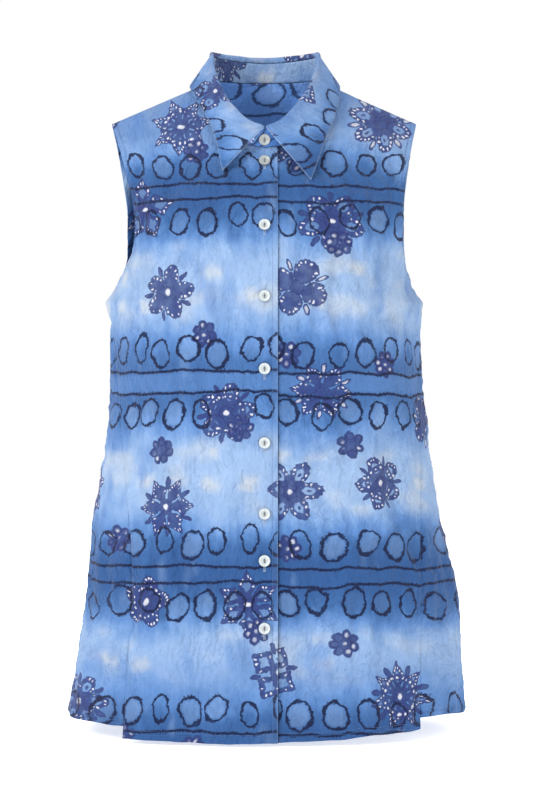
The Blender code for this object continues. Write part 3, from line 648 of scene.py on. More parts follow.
figures = {  # so many cells round and so tall, one figure in each; millimetres
    "big": {"aside": 31.0, "down": 14.0, "around": 7, "tall": 99.0, "jitter": 42.0, "size": 33.0,
            "seed": 101.0, "present": 0.75},
    "small": {"aside": 60.0, "down": 66.0, "around": 8, "tall": 99.0, "jitter": 36.0, "size": 14.5,
              "seed": 140.0, "present": 0.46},
    # how each part of a figure is coloured, from the lowest up
    "inks": {"wash": ("light", 0.30), "cover": ("motif", 0.95), "dark": ("motifDark", 0.62),
             "white": ("bead", 0.88)},
}


def cellFrame(p, u, v, kind):
    # the cell's random numbers, and how far this point lies beside and below its figure's middle
    wide, tall, jitter, seed = dye["round"] / kind["around"], kind["tall"], kind["jitter"], kind["seed"]
    u, v = u + kind["aside"], v + kind["down"]
    cy = math.floor(v / tall)
    u = u + (cy * 0.5) % 1.0 * wide
    cx = math.floor(u / wide)
    number = cx % kind["around"]
    one, two, three, four = p.chance(number, cy, seed)
    wobA, wobB = (p.spread(0.11, 0.11, at, 2.0, 0.6) * 5.0 for at in (seed, seed + 9.0))
    x = u - (cx + 0.5) * wide + (two - 0.5) * jitter + wobA
    y = v - (cy + 0.5) * tall + (three - 0.5) * jitter + wobB
    return number, cy, one, four, x, y


def turnOf(x, y):  # a direction, as a share of a whole turn
    return y.op("ARCTAN2", x) / (2 * math.pi)


def petalled(x, y, reach, petals, start):
    r = (x * x + y * y) ** 0.5 / reach
    slot = ((turnOf(x, y) + start) * petals) % 1.0 - 0.5
    swing = slot * (2 * math.pi) / petals
    return r, slot, r * swing.op("COSINE"), r * swing.op("SINE")


def beadRow(p, turnShare, count, apart, outward, cx, cy, seed):
    # white dots on a closed line; apart is their spacing and outward the distance from the line
    at = turnShare * count
    keep, sizeRandom, shift, _ = p.chance(math.floor(at) + cx * 31.0, cy, seed)
    side = (at % 1.0 - 0.5 + (shift - 0.5) * 0.3) * apart
    away = (outward * outward + side * side) ** 0.5 - sizeRandom * 0.020
    return fall(0.016, 0.042, away) * (keep < 0.84)


def bigMotif(p, u, v, kind):  # a thick-edged flower or star of four to seven petals, some hooped
    cx, cy, one, four, x, y = cellFrame(p, u, v, kind)
    seed = kind["seed"]
    five, six, seven, eight = p.chance(cx, cy, seed + 21.0)
    nine, _, ten, eleven = p.chance(cx, cy, seed + 34.0)
    petals = math.floor(4.0 + four * 3.6)
    r, slot, along, side = petalled(x, y, (0.84 + five * 0.30) * kind["size"], petals, one)
    a, b = (along - 0.58) / 0.42, side * petals / 1.62
    rounded = (a * a + b * b) ** 0.5
    pointed = (abs(a) + abs(b)) * 0.86
    e = rounded + (pointed - rounded) * (eight < 0.40) + p.spread(0.35, 0.35, seed, 2.0) * 0.34
    keep = six < kind["present"]
    fill = fall(0.92, 1.04, e)
    window = fall(0.36, 0.52, e) * (seven < 0.70)
    pip = fall(0.10, 0.20, e) * (seven < 0.45)
    core = fall(0.26, 0.31, r)
    eyeAway = (x * x * (0.4 + eleven) + y * y * (1.4 - eleven)) ** 0.5
    eye = fall(1.6, 3.4, eyeAway) * (nine > 0.25)
    leafE = ((r - 0.80) / 0.20) ** 2.0 + ((0.5 - abs(slot)) * r * (2 * math.pi) / petals / 0.085) ** 2.0
    leaf = fall(0.80, 1.20, leafE) * (nine < 0.70)
    leafHeart = fall(0.10, 0.50, leafE) * (nine < 0.35)
    hoop = fall(0.10, 0.14, abs(r - 0.56)) * (ten < 0.30)
    bead = beadRow(p, turnOf(a, b), 12.0, 0.17, (e - 0.74) * 0.36, cx, cy, seed + 50.0)
    hoopBead = beadRow(p, turnOf(x, y), 17.0, 0.21, r - 0.56, cx, cy, seed + 60.0)
    cover = highest(fill * (1.0 - window * 0.85) + pip * fill, core, hoop, leaf).op("MINIMUM", 1.0)
    white = highest(bead * rise(0.42, 0.56, along) * fill, hoopBead * hoop, eye, leafHeart * 0.7)
    edge = highest(rise(0.84, 0.96, e) * fill, rise(0.5, 0.9, leafE) * leaf)
    lining = rise(0.42, 0.50, e) * fall(0.50, 0.60, e) * window
    return {"wash": window * fill * keep, "cover": cover * keep, "dark": highest(edge, lining) * keep,
            "white": white * keep}


def smallMotif(p, u, v, kind):  # a little round flower of six or seven petals, some white-hearted
    _, _, one, four, x, y = cellFrame(p, u, v, kind)
    r, _, along, side = petalled(x, y, kind["size"], 6.0 + (one > 0.5), one)
    e = (((along - 0.62) / 0.38) ** 2.0 + (side / 0.33) ** 2.0) ** 0.5
    keep = four < kind["present"]
    cover = highest(fall(0.98, 1.12, e), fall(0.42, 0.50, r)) * keep
    heart = highest(fall(0.20, 0.56, e), fall(0.08, 0.16, r) * 0.8)
    heart = heart * rise(0.42, 0.62, p.cloth(0.09, 0.09, kind["seed"], 0.0))
    dark = rise(0.55, 0.70, e) * fall(0.70, 0.90, e)
    return {"cover": cover, "dark": dark * cover, "white": heart * keep * 0.75}


def printedColour(p, u, v, phase, local):
    base, row, off = dyedBase(p, u, v, phase, local)
    ring, inside = ringMask(p, u, row, off)
    base = p.mix(base, dyed("light"), inside * 0.28)
    watery = (0.66 + p.cloth(0.10, 0.10, 90.0) * 0.56).op("MINIMUM", 1.0)
    for motif in (bigMotif(p, u, v, figures["big"]), smallMotif(p, u, v, figures["small"])):
        motif["cover"] = motif["cover"] * watery
        for part, (ink, strength) in figures["inks"].items():
            if part in motif:
                base = p.mix(base, dyed(ink), motif[part] * strength)
    return p.mix(base, dyed("ink"), highest(ring, lineMask(p, row, off)) * 0.96)


clothLook = {"roughness": 0.84, "sheen": 0.06, "specular": 0.22, "weave": 0.42, "bump": 0.0055,
             "lapShade": 0.62, "stitchDip": 0.09}


def printedCloth(name, fade=0.0, paintedLightGain=1.0):
    p = Paint(name)
    u, v = p.uv("fabric")
    edge, hem = p.uv("trim")
    phase, local = p.uv("bands")
    turn = u * (2 * math.pi / dye["round"])
    p.round = (*(turn.op(wave) * (dye["round"] / 2 / math.pi) for wave in ("COSINE", "SINE")), v)
    colour = printedColour(p, u, v, phase, local * 100.0)
    # the folded front edge, a streaky strip beside it and the collar's edges are paler; stitching dips the
    # cloth
    wear = fall(4.3, 5.6, edge) * (edge > -1.0) * 0.05 * p.noise(edge * 0.7, v * 0.14, 4.0)
    foldRim = fall(0.3, 1.0, abs(edge)) * 0.16
    collarRim = fall(0.2, 1.1, edge + 100.0) * (0.14 + p.cloth(0.05, 0.05, 45.0) * 0.44)
    colour = p.mix(colour, dyed("worn"), highest(wear, foldRim, collarRim))
    stitchDipAndShade = highest(fall(0.25, 0.8, abs(edge - 5.1)) * 0.4, fall(0.25, 0.9, abs(hem - 5.4)))
    # the stitch lines are painted darker: painted shade in the dips along the stitching
    colour = p.mix(colour, dyed("band"), stitchDipAndShade * 0.35)
    if fade:  # the reverse, where less of the print comes through, then scaled up as painted light, as though the thin cloth let light through
        colour = p.scaled(p.mix(colour, dyed("wash"), fade), paintedLightGain)
    beside = edge - form["lap"] * 2000  # the lap's own edge throws a narrow shade on the left front
    lapShade = fall(0.5, 2.6, beside) * (beside > -0.5) * (u > 0.0) * (edge < 45.0)
    colour = p.mix(colour, dyed("ink"), lapShade * clothLook["lapShade"])
    # darker lines along the fine crinkles: partly dye settled in them, partly painted shade
    bend = p.spread(0.03, 0.02, 40.0, 1.0) * 26.0
    crinkleA = abs(p.noise((u + bend) * 0.090, v * 0.042, 51.0, 2.0, 0.55) - 0.5)
    crinkleB = abs(p.noise((u - bend + v * 0.5) * 0.13, (v - u * 0.4) * 0.080, 57.0) - 0.5)
    crackleAndShade = fall(0.0, 0.035, crinkleA) * 0.20 + fall(0.0, 0.030, crinkleB) * 0.16
    colour = p.mix(colour, dyed("deep"), crackleAndShade * rise(0.40, 0.66, p.cloth(0.02, 0.02, 44.0)))
    # weave, fine crinkles, and the dips along the stitching
    warp, weft = ((along * (2 * math.pi / clothLook["weave"])).op("SINE") for along in (u, v))
    slub = p.noise(u * 1.6, v * 0.25, 58.0, 1.0)
    height = crinkleA * -1.6 + crinkleB * -0.9 + slub * 0.03 + warp * weft * 0.011
    height = height - stitchDipAndShade * clothLook["stitchDip"]
    return p.finish({
        "Base Color": colour, "Roughness": clothLook["roughness"] + (slub - 0.5) * 0.12,
        "Normal": p.node("ShaderNodeBump", None,
                         {"Strength": 0.9, "Distance": clothLook["bump"], "Height": height}),
        "Sheen Weight": clothLook["sheen"], "Sheen Roughness": 0.45,
        "Specular IOR Level": clothLook["specular"]})


outerCloth = printedCloth("printed_cloth")
# the reverse copies are painted lighter, the stand's inside the most: painted light for the dim inside
innerCloth = printedCloth("printed_cloth_reverse", 0.10, 1.85)
innerStand = printedCloth("printed_cloth_reverse_stand", 0.10, 2.25)
print("cloth material made")


# ---- panels ----
printed = {
    "sag": 3.0,  # radius of the printed lines' bend, as the skirt widens downward
    "period": 198.5,
    "lapStep": (0.011, -2.5),  # how far the left front's print lies aside and up at the lap
    "front": (0, (-0.1166, -0.3150, -0.5136, -0.6825)),  # first row's number, heights of the pairs
    "back": (-1, (-0.0220, -0.1690, -0.3150, -0.5136, -0.6825)),
}


def slopeLength():  # height read along the cloth's slope, so rings stay round
    z = np.linspace(0.02, -0.70, 400)
    run = runOf(np.stack((z, read("frontDepth", "depth", z) * 0.8), axis=1))
    zero = np.interp(-form["underarm"], -z, run)
    return lambda height: (np.interp(-height, -z, run) - zero - form["underarm"]) * 1000


downCloth = slopeLength()


def downOf(grid):  # millimetres down the cloth
    return downCloth(grid[:, :, 2]) - grid[:, :, 0] ** 2 / (2 * printed["sag"]) * 1000


def bandsOf(v, panel):  # which pair of lines is near, and how far to the next
    first, heights = printed[panel]
    at = downCloth(np.array(heights))
    at = np.concatenate(((at[0] - printed["period"],), at, (at[-1] + printed["period"],)))
    rows = np.arange(len(at)) + first - 1
    part = np.clip(np.searchsorted(at, v) - 1, 0, len(at) - 2)
    local = (at[1:] - at[:-1])[part]
    return np.stack((rows[part] + (v - at[part]) / local, local / 100), axis=1)


def acrossOf(grid, neckRows, side, below):  # distance from the centre line, level
    start = np.where(np.arange(len(grid)) <= neckRows, side * grid[:, 0, 0], below)
    return start[:, None] + runOf(grid[:, :, :2], 1)


def withCloth(grid, u, v, edge=0.06, hem=0.06):  # the grid with its cloth coordinates in millimetres
    scaled = np.stack(np.broadcast_arrays(u * 1000, v, edge * 1000, hem * 1000), axis=-1)
    return np.concatenate((grid, scaled), axis=-1)


def edgeDistances(grid):  # from the four borders, along the grid's own lines
    fromLeft, fromTop = runOf(grid, 1), runOf(grid)
    return fromLeft, fromLeft[:, -1:] - fromLeft, fromTop, fromTop[-1:] - fromTop


def layersOf(points, panel="front"):
    return {"fabric": points[:, 3:5], "trim": points[:, 5:7], "bands": bandsOf(points[:, 4], panel)}


def shell(name, full, flip, materials):  # one grid, with its cloth coordinates, as a piece
    points = full.reshape(-1, full.shape[-1])
    return meshPiece(name, points[:, :3], gridFaces(full, flip), layersOf(points), materials)


cloth = {"panel": 0.00055, "collar": 0.00125,  # thickness
         "hemTurn": 0.0095, "armTurn": 0.0075, "placketTurn": 0.021, "neckTurn": 0.005, "shoulderTurn": 0.008}
bothSides = (outerCloth, innerCloth)
turnRows = len(turn["fold"]) + len(turn["steps"])
panelTrees, panelGrids, frontReach = [], {}, {}


def crumpled(grid, normals, panel, upper, openRows, seed):
    # the relief of worn cloth; also the gaps to the nearest topstitched edge and to the centre line
    fromCentre, fromSide, fromTop, fromHem = edgeDistances(grid)
    rowIndex = np.arange(len(grid))[:, None]
    neckEdge = np.where(rowIndex < openRows, fromCentre, 1.0)
    free = np.minimum.reduce((fromSide, neckEdge, fromTop, fromHem))
    nearEdge = np.minimum(fromHem, np.where(rowIndex < upper, fromSide, 1.0))
    high, across, down = crumple["pucker"]
    pucker = high * grain(fromCentre + grid[:, :, 2], grid[:, :, 2], across, down, seed)
    lift = crumpleHeights(grid, panel, free) + pucker * (1 - ease(0.003, 0.010, nearEdge))
    return grid + normals * lift[..., None], nearEdge, fromCentre


def turnedPanel(full, normals):  # its hem, shoulder seam and armhole
    full, normals = turnedEdge(full, normals, cloth["hemTurn"])
    full, normals = turnedEdge(full, normals, cloth["shoulderTurn"], first=True)
    return turnedEdge(full, normals, cloth["armTurn"], axis=1)


def buildFront(side):
    name = "front_" + sideName[side].lower()
    neckRows, chestRows, _ = fine["Front"]
    grid = panelGrid("Front", side)
    if side > 0:  # kept behind the right front where that one covers it
        past = form["lap"] + 0.006
        for r, c in zip(*np.nonzero(grid[:, :, 0] < past)):
            point = Vector(grid[r, c])
            near, normal, _, gap = panelTrees[0].find_nearest(point)
            if normal.y > 0:
                normal = -normal
            need = -(form["lapStep"] + 0.0003) * (1 - ease(form["lap"], past, point.x))
            depth = (point - near).dot(normal)
            if gap < 0.03 and depth > need:
                grid[r, c] = np.array(point + normal * (need - depth))
    normals = gridNormals(grid, -side)
    grid, nearEdge, fromCentre = crumpled(grid, normals, "front", neckRows + chestRows, len(grid), 77)
    panelGrids[name] = (grid, normals)
    s = acrossOf(grid, neckRows, side, -form["lap"])
    frontReach[side] = s[:, -1]
    # each front is cut on its own, so the print steps at the lap and comes level by the side seam
    step = (side > 0) * (1 - ease(0.020, 0.120, s))
    aside, up = printed["lapStep"]
    placketEdge = np.where(np.arange(len(grid))[:, None] > neckRows, fromCentre, 0.06)
    full = withCloth(grid, side * s + step * aside, downOf(grid) + step * up, placketEdge, nearEdge)
    full, turned = turnedPanel(full, normals)
    onPlacket = np.arange(len(full)) > neckRows + turnRows
    placket = np.where(onPlacket, cloth["placketTurn"], cloth["neckTurn"])
    full, turned = turnedEdge(full, turned, placket, first=True, axis=1)
    made = shell(name + "_cloth", full, side > 0, bothSides)
    coarse = gridFaces(grid, side > 0).tolist()
    panelTrees.append(BVHTree.FromPolygons(grid.reshape(-1, 3).tolist(), coarse))
    return thicken(made, cloth["panel"])


def buildBack():
    neckRows, chestRows, cols = fine["Back"]
    upper = neckRows + chestRows
    halves = {side: panelGrid("Back", side) for side in (-1, 1)}
    gap = (halves[1][:, :1] - halves[-1][:, :1]) / 2
    gap[:neckRows] = 0  # the two sides of the neck stay apart
    blend = (1 - ease(0, 18, np.arange(cols)))[None, :, None]
    points, faces, drawn, count = [], [], [], 0
    for side, half in halves.items():
        grid = half - side * gap * blend
        normals = gridNormals(grid, side)
        normals[neckRows:, 0, 0] = 0
        grid, nearEdge, _ = crumpled(grid, normals, "back", upper, neckRows, 78)
        panelGrids["back", side] = (grid, normals)
        s = acrossOf(grid, neckRows, side, 0.0)
        # the print runs on from the front at the side seam and closes at the centre of the back
        skirt = slice(-fine["skirtRows"] - 1, None)
        stretch = (dye["round"] / 2000 - frontReach[side][skirt]) / s[skirt, -1]
        stretch = np.concatenate((np.full(upper, stretch[0]), stretch))[:, None]
        u = side * (dye["round"] / 2000 - s * stretch)
        full, _ = turnedPanel(withCloth(grid, u, downOf(grid), hem=nearEdge), normals)
        rows, wide = full.shape[:2]
        sideFaces = gridFaces(full, side < 0, count)
        drawn.append(sideFaces)
        if side > 0:  # the halves share their centre column below the neck
            old = np.arange(neckRows + turnRows, rows) * wide
            shared = np.arange(count + rows * wide)
            shared[count + old] = old
            sideFaces = shared[sideFaces]
        points.append(full.reshape(-1, full.shape[-1]))
        faces.append(sideFaces)
        count += rows * wide
    points, faces, drawn = np.concatenate(points), np.concatenate(faces), np.concatenate(drawn)
    layers = layersOf(points, "back")
    used, index = np.unique(faces, return_inverse=True)
    points, faces = points[used, :3], index.reshape(faces.shape)
    made = meshPiece("back_cloth", points, faces, layers, bothSides, drawn)
    panelTrees.append(BVHTree.FromPolygons(points.tolist(), faces.tolist()))
    return thicken(made, cloth["panel"])


frontRight, frontLeft = buildFront(-1), buildFront(1)
backPanel = buildBack()
print("panels made")


# ---- collar ----
collar = {"standCols": 220, "standRows": 16, "fallCols": 280, "rollRows": 14, "fallRows": 40,
          "clearance": 0.0021,  # of the fall over the panels
          "seamGap": 0.0007, "rollGap": 0.0013, "belly": 0.0006,
          "soft": ((0.00035, 0.016, 0.03, 41), (0.0002, 0.006, 0.01, 43)),  # height, grain, seed
          "standPrint": (0.059, 198), "fallPrint": (0.43, 38)}  # where each is cut from the print


def neckRing(angles, columnAt):  # a grid of columns up from the neck seam
    columns = [columnAt(angle, neckPoint(angle), neckOutward(angle)) for angle in angles]
    return np.array(columns).transpose(1, 0, 2)


def buildStand():
    first, last = (180 + math.degrees(math.asin(form["standLap" + name] / form["neckHalf"]))
                   for name in ("Left", "Right"))
    even = np.linspace(0, math.pi / 2, 50)
    angles = np.concatenate((first - (first - 150) * (1 - np.cos(even)),
                             np.linspace(150, -150, collar["standCols"] - 100)[1:-1],
                             -last + (last - 150) * (1 - np.cos(even[::-1]))))

    def column(angle, foot, out):  # lower at its rounded ends, one end over the other
        end = first if angle > 0 else last
        past = max(0.0, 1 - (end - abs(angle)) / 9.0)
        low = 0.62 + 0.38 * math.sqrt(max(0.0, 1 - past * past))
        height, lean = (read("stand", name, neckTurn(angle)) * low for name in ("height", "lean"))
        layer = ease(110, 160, abs(angle)) * form["lapStep"] / 2 * (-1 if angle > 0 else 1)
        base = foot + np.array((0, 0, collar["seamGap"])) + out * layer
        return [base + out * lean * up + np.array((0, 0, height * up))
                for up in np.linspace(0, 1, collar["standRows"])]

    grid = neckRing(angles, column)
    fromFirst, fromLast, fromFoot, fromTop = edgeDistances(grid)
    u = fromFirst - fromFirst[:, -1:] / 2
    # cut from a light stripe; its ends and the wearer's left of the back reach a darker one
    aside, down = collar["standPrint"]
    printAt = down - 52 * (u / 0.2) ** 2 - 28 * ease(0.005, 0.060, -u) * (1 - ease(0.080, 0.140, -u))
    full = withCloth(grid, -u - aside, printAt + fromFoot * 1000)
    near = np.minimum.reduce((fromFirst, fromLast, fromFoot, fromTop)).ravel()
    panelGrids["collar_stand"] = (grid, gridNormals(grid, -1))
    made = shell("collar_stand_cloth", full, True, (outerCloth, innerStand))
    return thicken(made, cloth["collar"], ease(-0.0004, 0.0016, near))


def relaxed(grid, fixedRows, times):  # evens out small steps, the borders stay
    for _ in range(times):
        inner = (grid[:-2, 1:-1] + grid[2:, 1:-1] + grid[1:-1, :-2] + grid[1:-1, 2:]) / 4
        keep = grid[1:-1, 1:-1]
        grid[1:-1, 1:-1] = np.where(np.arange(1, len(grid) - 1)[:, None, None] < fixedRows, keep, inner)
    return grid


def buildFall():
    def column(angle, foot, out):  # rolls over the stand, then runs straight to its edge
        turnAngle, side = abs(angle), (1 if angle > 0 else -1)
        over, roll, x, y, z = (read("fall", name, turnAngle) for name in
                               ["rise", "roll"] + [axis + sideName[side] for axis in "xyz"])
        height, lean = (read("stand", name, turnAngle) for name in ("height", "lean"))
        layer = ease(110, 160, turnAngle) * form["lapStep"] / 2
        foot = foot + out * (lean - layer * side) + np.array((0, 0, height + collar["rollGap"]))
        turned = np.linspace(0, math.pi, collar["rollRows"])
        line = [foot + np.array((0, 0, over * math.sin(t))) + out * roll * (1 - math.cos(t)) for t in turned]
        start, edge = line[-1], np.array((side * x, y, z))
        return line + [start + (edge - start) * t + out * collar["belly"] * math.sin(math.pi * t)
                       for t in np.linspace(0, 1, collar["fallRows"])[1:]]

    grid = neckRing(np.linspace(179, -179, collar["fallCols"]), column)
    free = collar["rollRows"] + 4
    for r, c in np.ndindex(*grid.shape[:2]):
        if r >= free:  # lifted off the panels where it would lie in them
            point = Vector(grid[r, c])
            hits = (tree.find_nearest(point) for tree in panelTrees)
            near, normal, _, gap = min(hits, key=lambda hit: hit[3])
            if normal.dot(near - Vector((0, 0, near.z - 0.12))) < 0:
                normal = -normal
            depth = (point - near).dot(normal)
            if gap < 0.03 and depth < collar["clearance"]:
                grid[r, c] = np.array(point + normal * (collar["clearance"] - depth))
    grid = relaxed(grid, free, 3)
    normals = gridNormals(grid, -1)
    fromFirst, fromLast, fromFoot, fromEdge = edgeDistances(grid)
    soft = sum(high * grain(fromFirst + shift, fromFoot, *grains)
               for shift, (high, *grains) in zip((3, 0), collar["soft"]))
    away = np.minimum.reduce((fromFirst, fromLast, fromEdge))
    grid = grid + normals * (soft * ease(0, 0.006, away))[..., None]
    u = fromFirst - fromFirst[:, -1:] / 2
    edge = np.minimum(away, 0.06) - 0.1  # apart from the panels' own distances
    aside, down = collar["fallPrint"]
    full = withCloth(grid, aside - u, down + fromFoot * 1000, edge)
    panelGrids["collar_fall"] = (grid, normals)
    made = shell("collar_fall_cloth", full, True, bothSides)
    return thicken(made, cloth["collar"], ease(-0.0004, 0.0018, np.minimum(away, fromFoot).ravel()))


collarStand, collarFall = buildStand(), buildFall()
print("collar made")


# ---- sewing ----
thread = {"pitch": 0.0027, "length": 0.0019, "start": 0.001, "radius": 0.00016, "sides": 5,
          "sunk": (-0.00022, 0.00004, 0.00010, 0.00004, -0.00022)}  # height along one stitch


def threadMaterial(name, colour):
    p = Paint(name)
    x, y = p.uv("strand")
    twist = (x * 9.0 + y * 6.0).op("SINE")
    return p.finish({
        "Base Color": p.mix(colour, srgb(90, 110, 150), 0.18 + twist * 0.10),
        "Normal": p.node("ShaderNodeBump", None, {"Strength": 0.5, "Distance": 0.00008, "Height": twist}),
        "Roughness": 0.62, "Sheen Weight": 0.2})


blueThread = threadMaterial("blue_thread", srgb(84, 118, 170, gain=dye["gain"]))
paleThread = threadMaterial("pale_thread", srgb(172, 188, 206))
buttonThread = threadMaterial("button_thread", srgb(104, 98, 86))


def ringFaces(rings, count, base=0):  # between closed rings of points
    return [(base + i * count + k, base + i * count + (k + 1) % count,
             base + (i + 1) * count + (k + 1) % count, base + (i + 1) * count + k)
            for i in range(rings - 1) for k in range(count)]


def strands(name, pieces, radius, material):
    # Each piece is a short line of points, made into a closed round strand; all are one mesh.
    sides = thread["sides"]
    points, faces, uvs = [], [], []
    for line in pieces:
        line = np.asarray(line, float)
        along = unit(np.gradient(line, axis=0))
        helper = np.where(np.abs(along[:, 2:3]) < 0.9, [[0.0, 0.0, 1.0]], [[1.0, 0.0, 0.0]])
        a = unit(np.cross(along, helper))
        b = np.cross(along, a)
        run = runOf(line) * 1000
        first, last = len(points), len(points) + (len(line) - 1) * sides
        for k in range(len(line)):
            slim = 0.45 if k in (0, len(line) - 1) else 1.0
            for m in range(sides):
                t = 2 * math.pi * m / sides
                points.append(line[k] + (a[k] * math.cos(t) + b[k] * math.sin(t)) * radius * slim)
                uvs.append((run[k], m / sides))
        faces += ringFaces(len(line), sides, first)
        faces += [tuple(range(first, first + sides))[::-1], tuple(range(last, last + sides))]
    return meshPiece(name, np.array(points), faces, {"strand": np.array(uvs)}, (material,))


def stitchesAlong(line, normals, lift):  # they lie on the cloth with their ends sunk into it
    run = runOf(line)
    made = []
    for i in range(int((run[-1] - 2 * thread["start"]) / thread["pitch"])):
        at = thread["start"] + i * thread["pitch"] + thread["length"] * np.array((0.0, 0.2, 0.5, 0.8, 1.0))
        if at[-1] > run[-1]:
            break
        height = lift + np.array(thread["sunk"])
        made.append(pointsAt(at, run, line) + unit(pointsAt(at, run, normals)) * height[:, None])
    return made


def inset(grid, normals, distance, axis, last, rows):
    # the line of points this far inside one border of a grid
    if axis:
        grid, normals = grid.transpose(1, 0, 2), normals.transpose(1, 0, 2)
    if last:
        grid, normals = grid[::-1], normals[::-1]
    run = runOf(grid[:24])
    line, ups = [], []
    for c in range(grid.shape[1])[rows]:
        k = int(np.clip(np.searchsorted(run[:, c], distance) - 1, 0, 22))
        t = (distance - run[k, c]) / (run[k + 1, c] - run[k, c])
        line.append(grid[k, c] * (1 - t) + grid[k + 1, c] * t)
        ups.append(normals[k, c])
    return np.array(line), np.array(ups)


sewing = {"arm": 0.0054, "hem": 0.0088, "placket": 0.0051, "collar": 0.0017, "stand": 0.0016}
lift, collarLift = cloth["panel"] / 2, cloth["collar"] / 2 * 0.8
allRows, pastRoll = slice(None), slice(collar["rollRows"], None)


def stitched(key, height, runs):  # runs: which distance, the grid's axis, its last border, rows
    grid, normals = panelGrids[key]
    lines = []
    for name, axis, last, rows in runs:
        lines += stitchesAlong(*inset(grid, normals, sewing[name], axis, last, rows), height)
    return lines


def panelRuns(panel):
    return [("arm", 1, True, slice(2, sum(fine[panel][:2]))), ("hem", 0, True, allRows)]


placketRun = [("placket", 1, False, slice(fine["Front"][0] + 1, None))]
seamLines = {
    "front_right": stitched("front_right", lift, panelRuns("Front") + placketRun),
    "front_left": stitched("front_left", lift, panelRuns("Front")),
    "back": stitched(("back", -1), lift, panelRuns("Back")) + stitched(("back", 1), lift, panelRuns("Back")),
    "collar_fall": stitched("collar_fall", collarLift, [
        ("collar", 0, True, allRows), ("collar", 1, False, pastRoll), ("collar", 1, True, pastRoll)]),
    "collar_stand": stitched("collar_stand", collarLift, [("stand", 0, False, allRows)]),
}
inner, innerUps = inset(*panelGrids["collar_stand"], sewing["stand"], 0, False, allRows)
seamLines["collar_stand"] += stitchesAlong(inner, -innerUps, collarLift)
sewn = {node: strands(node + "_stitches", lines, thread["radius"], blueThread)
        for node, lines in seamLines.items()}
print("sewing made")


# ---- buttons and buttonholes ----
button = {
    "radius": 0.00615, "thick": 0.0024, "holeRadius": 0.00085, "holeApart": 0.0029,
    "threadRadius": 0.00022,
    "slotThread": 0.00017, "slotLong": 0.0150, "slotWide": 0.0021, "slotDown": 0.0034,  # the buttonholes
    "shadedCount": 2,  # so many from the top take the darker copy: painted shade under the collar
    # share of the radius and of the thickness, from the dish over the raised rim to the back
    "profile": ((0.30, 0.52), (0.50, 0.55), (0.62, 0.66), (0.70, 0.84), (0.77, 0.97), (0.84, 1.0),
                (0.91, 0.985), (0.965, 0.90), (0.992, 0.76), (1.0, 0.60), (0.985, 0.40), (0.93, 0.20),
                (0.84, 0.06), (0.70, 0.0)),
}


def buttonMaterial(name, gain):
    p = Paint(name)
    x, y = p.uv("face")
    cloud = p.noise(x * 0.22, y * 0.22, 3.0, 3.0, 0.6)
    swirl = p.noise(x * 0.9 + cloud * 3.0, y * 0.35, 7.0, 2.0, 0.6)
    ground = p.mix(srgb(144, 151, 153, gain=gain), srgb(162, 170, 174, gain=gain), cloud)
    out = (x * x + y * y) ** 0.5
    # darker in the dish: painted shade in the hollow
    ground = p.mix(ground, srgb(122, 126, 124), fall(3.2, 4.9, out + swirl) * 0.42)
    # brownish round the holes: partly grime, partly painted shade
    ground = p.mix(ground, srgb(66, 60, 50), fall(1.1, 2.3, out + cloud) * 0.70)
    # dark at the outer edge: partly a darker rim, partly a painted contact shadow
    ground = p.mix(ground, srgb(62, 62, 60), rise(5.4, 6.0, out) * 0.8)
    return p.finish({
        "Base Color": p.mix(ground, srgb(124, 128, 126), rise(0.52, 0.70, swirl) * 0.4),
        "Roughness": 0.24 + swirl * 0.16, "Coat Weight": 0.35, "Coat Roughness": 0.12})


def buttonMesh():  # a turned disc with a raised rim and a shallow dish, then two holes
    r, h = button["radius"], button["thick"]
    count, rings = 64, len(button["profile"])
    turns = [2 * math.pi * k / count for k in range(count)]
    points = [(share * r * math.cos(t), share * r * math.sin(t), up * h)
              for share, up in button["profile"] for t in turns]
    top, last = len(points), (rings - 1) * count
    points += [(0, 0, button["profile"][0][1] * h), (0, 0, 0)]
    faces = [(face[0], *face[:0:-1]) for face in ringFaces(rings, count)]
    faces += [(top, k, (k + 1) % count) for k in range(count)]
    faces += [(top + 1, last + (k + 1) % count, last + k) for k in range(count)]
    blank = meshPiece("button_blank", np.array(points), faces, {})
    cutters = []
    for y in (-button["holeApart"] / 2, button["holeApart"] / 2):
        bpy.ops.mesh.primitive_cylinder_add(vertices=20, radius=button["holeRadius"], depth=h * 4,
                                            location=(0, y, 0))
        cutters.append(bpy.context.active_object)
        cut = blank.modifiers.new("hole", "BOOLEAN")
        cut.object, cut.operation = cutters[-1], "DIFFERENCE"
    bpy.context.view_layer.update()
    cutMesh = bpy.data.meshes.new_from_object(blank.evaluated_get(bpy.context.evaluated_depsgraph_get()))
    for old in cutters + [blank]:
        bpy.data.objects.remove(old, do_unlink=True)
    layer = cutMesh.uv_layers.new(name="face")
    for loop in cutMesh.loops:
        layer.data[loop.index].uv = cutMesh.vertices[loop.vertex_index].co.xy * 1000
    cutMesh.materials.clear()
    cutMesh.shade_smooth()
    cutMesh.set_sharp_from_angle(angle=math.radians(35))
    return cutMesh


def threadLines(placing):  # three strands between the two holes, and a shank behind
    half, top = button["holeApart"] / 2, button["thick"] * 0.52
    for k in (-1, 0, 1):
        high = top + 0.00042 - abs(k) * 0.0001
        ends = ((half, -0.0006), (half, top * 0.8), (half * 0.75, top + 0.00020))
        path = [(-y, z) for y, z in ends] + [(0, high)] + list(ends[::-1])
        yield [placing @ Vector((k * 0.00032, y, z)) for y, z in path]


discMesh = buttonMesh()
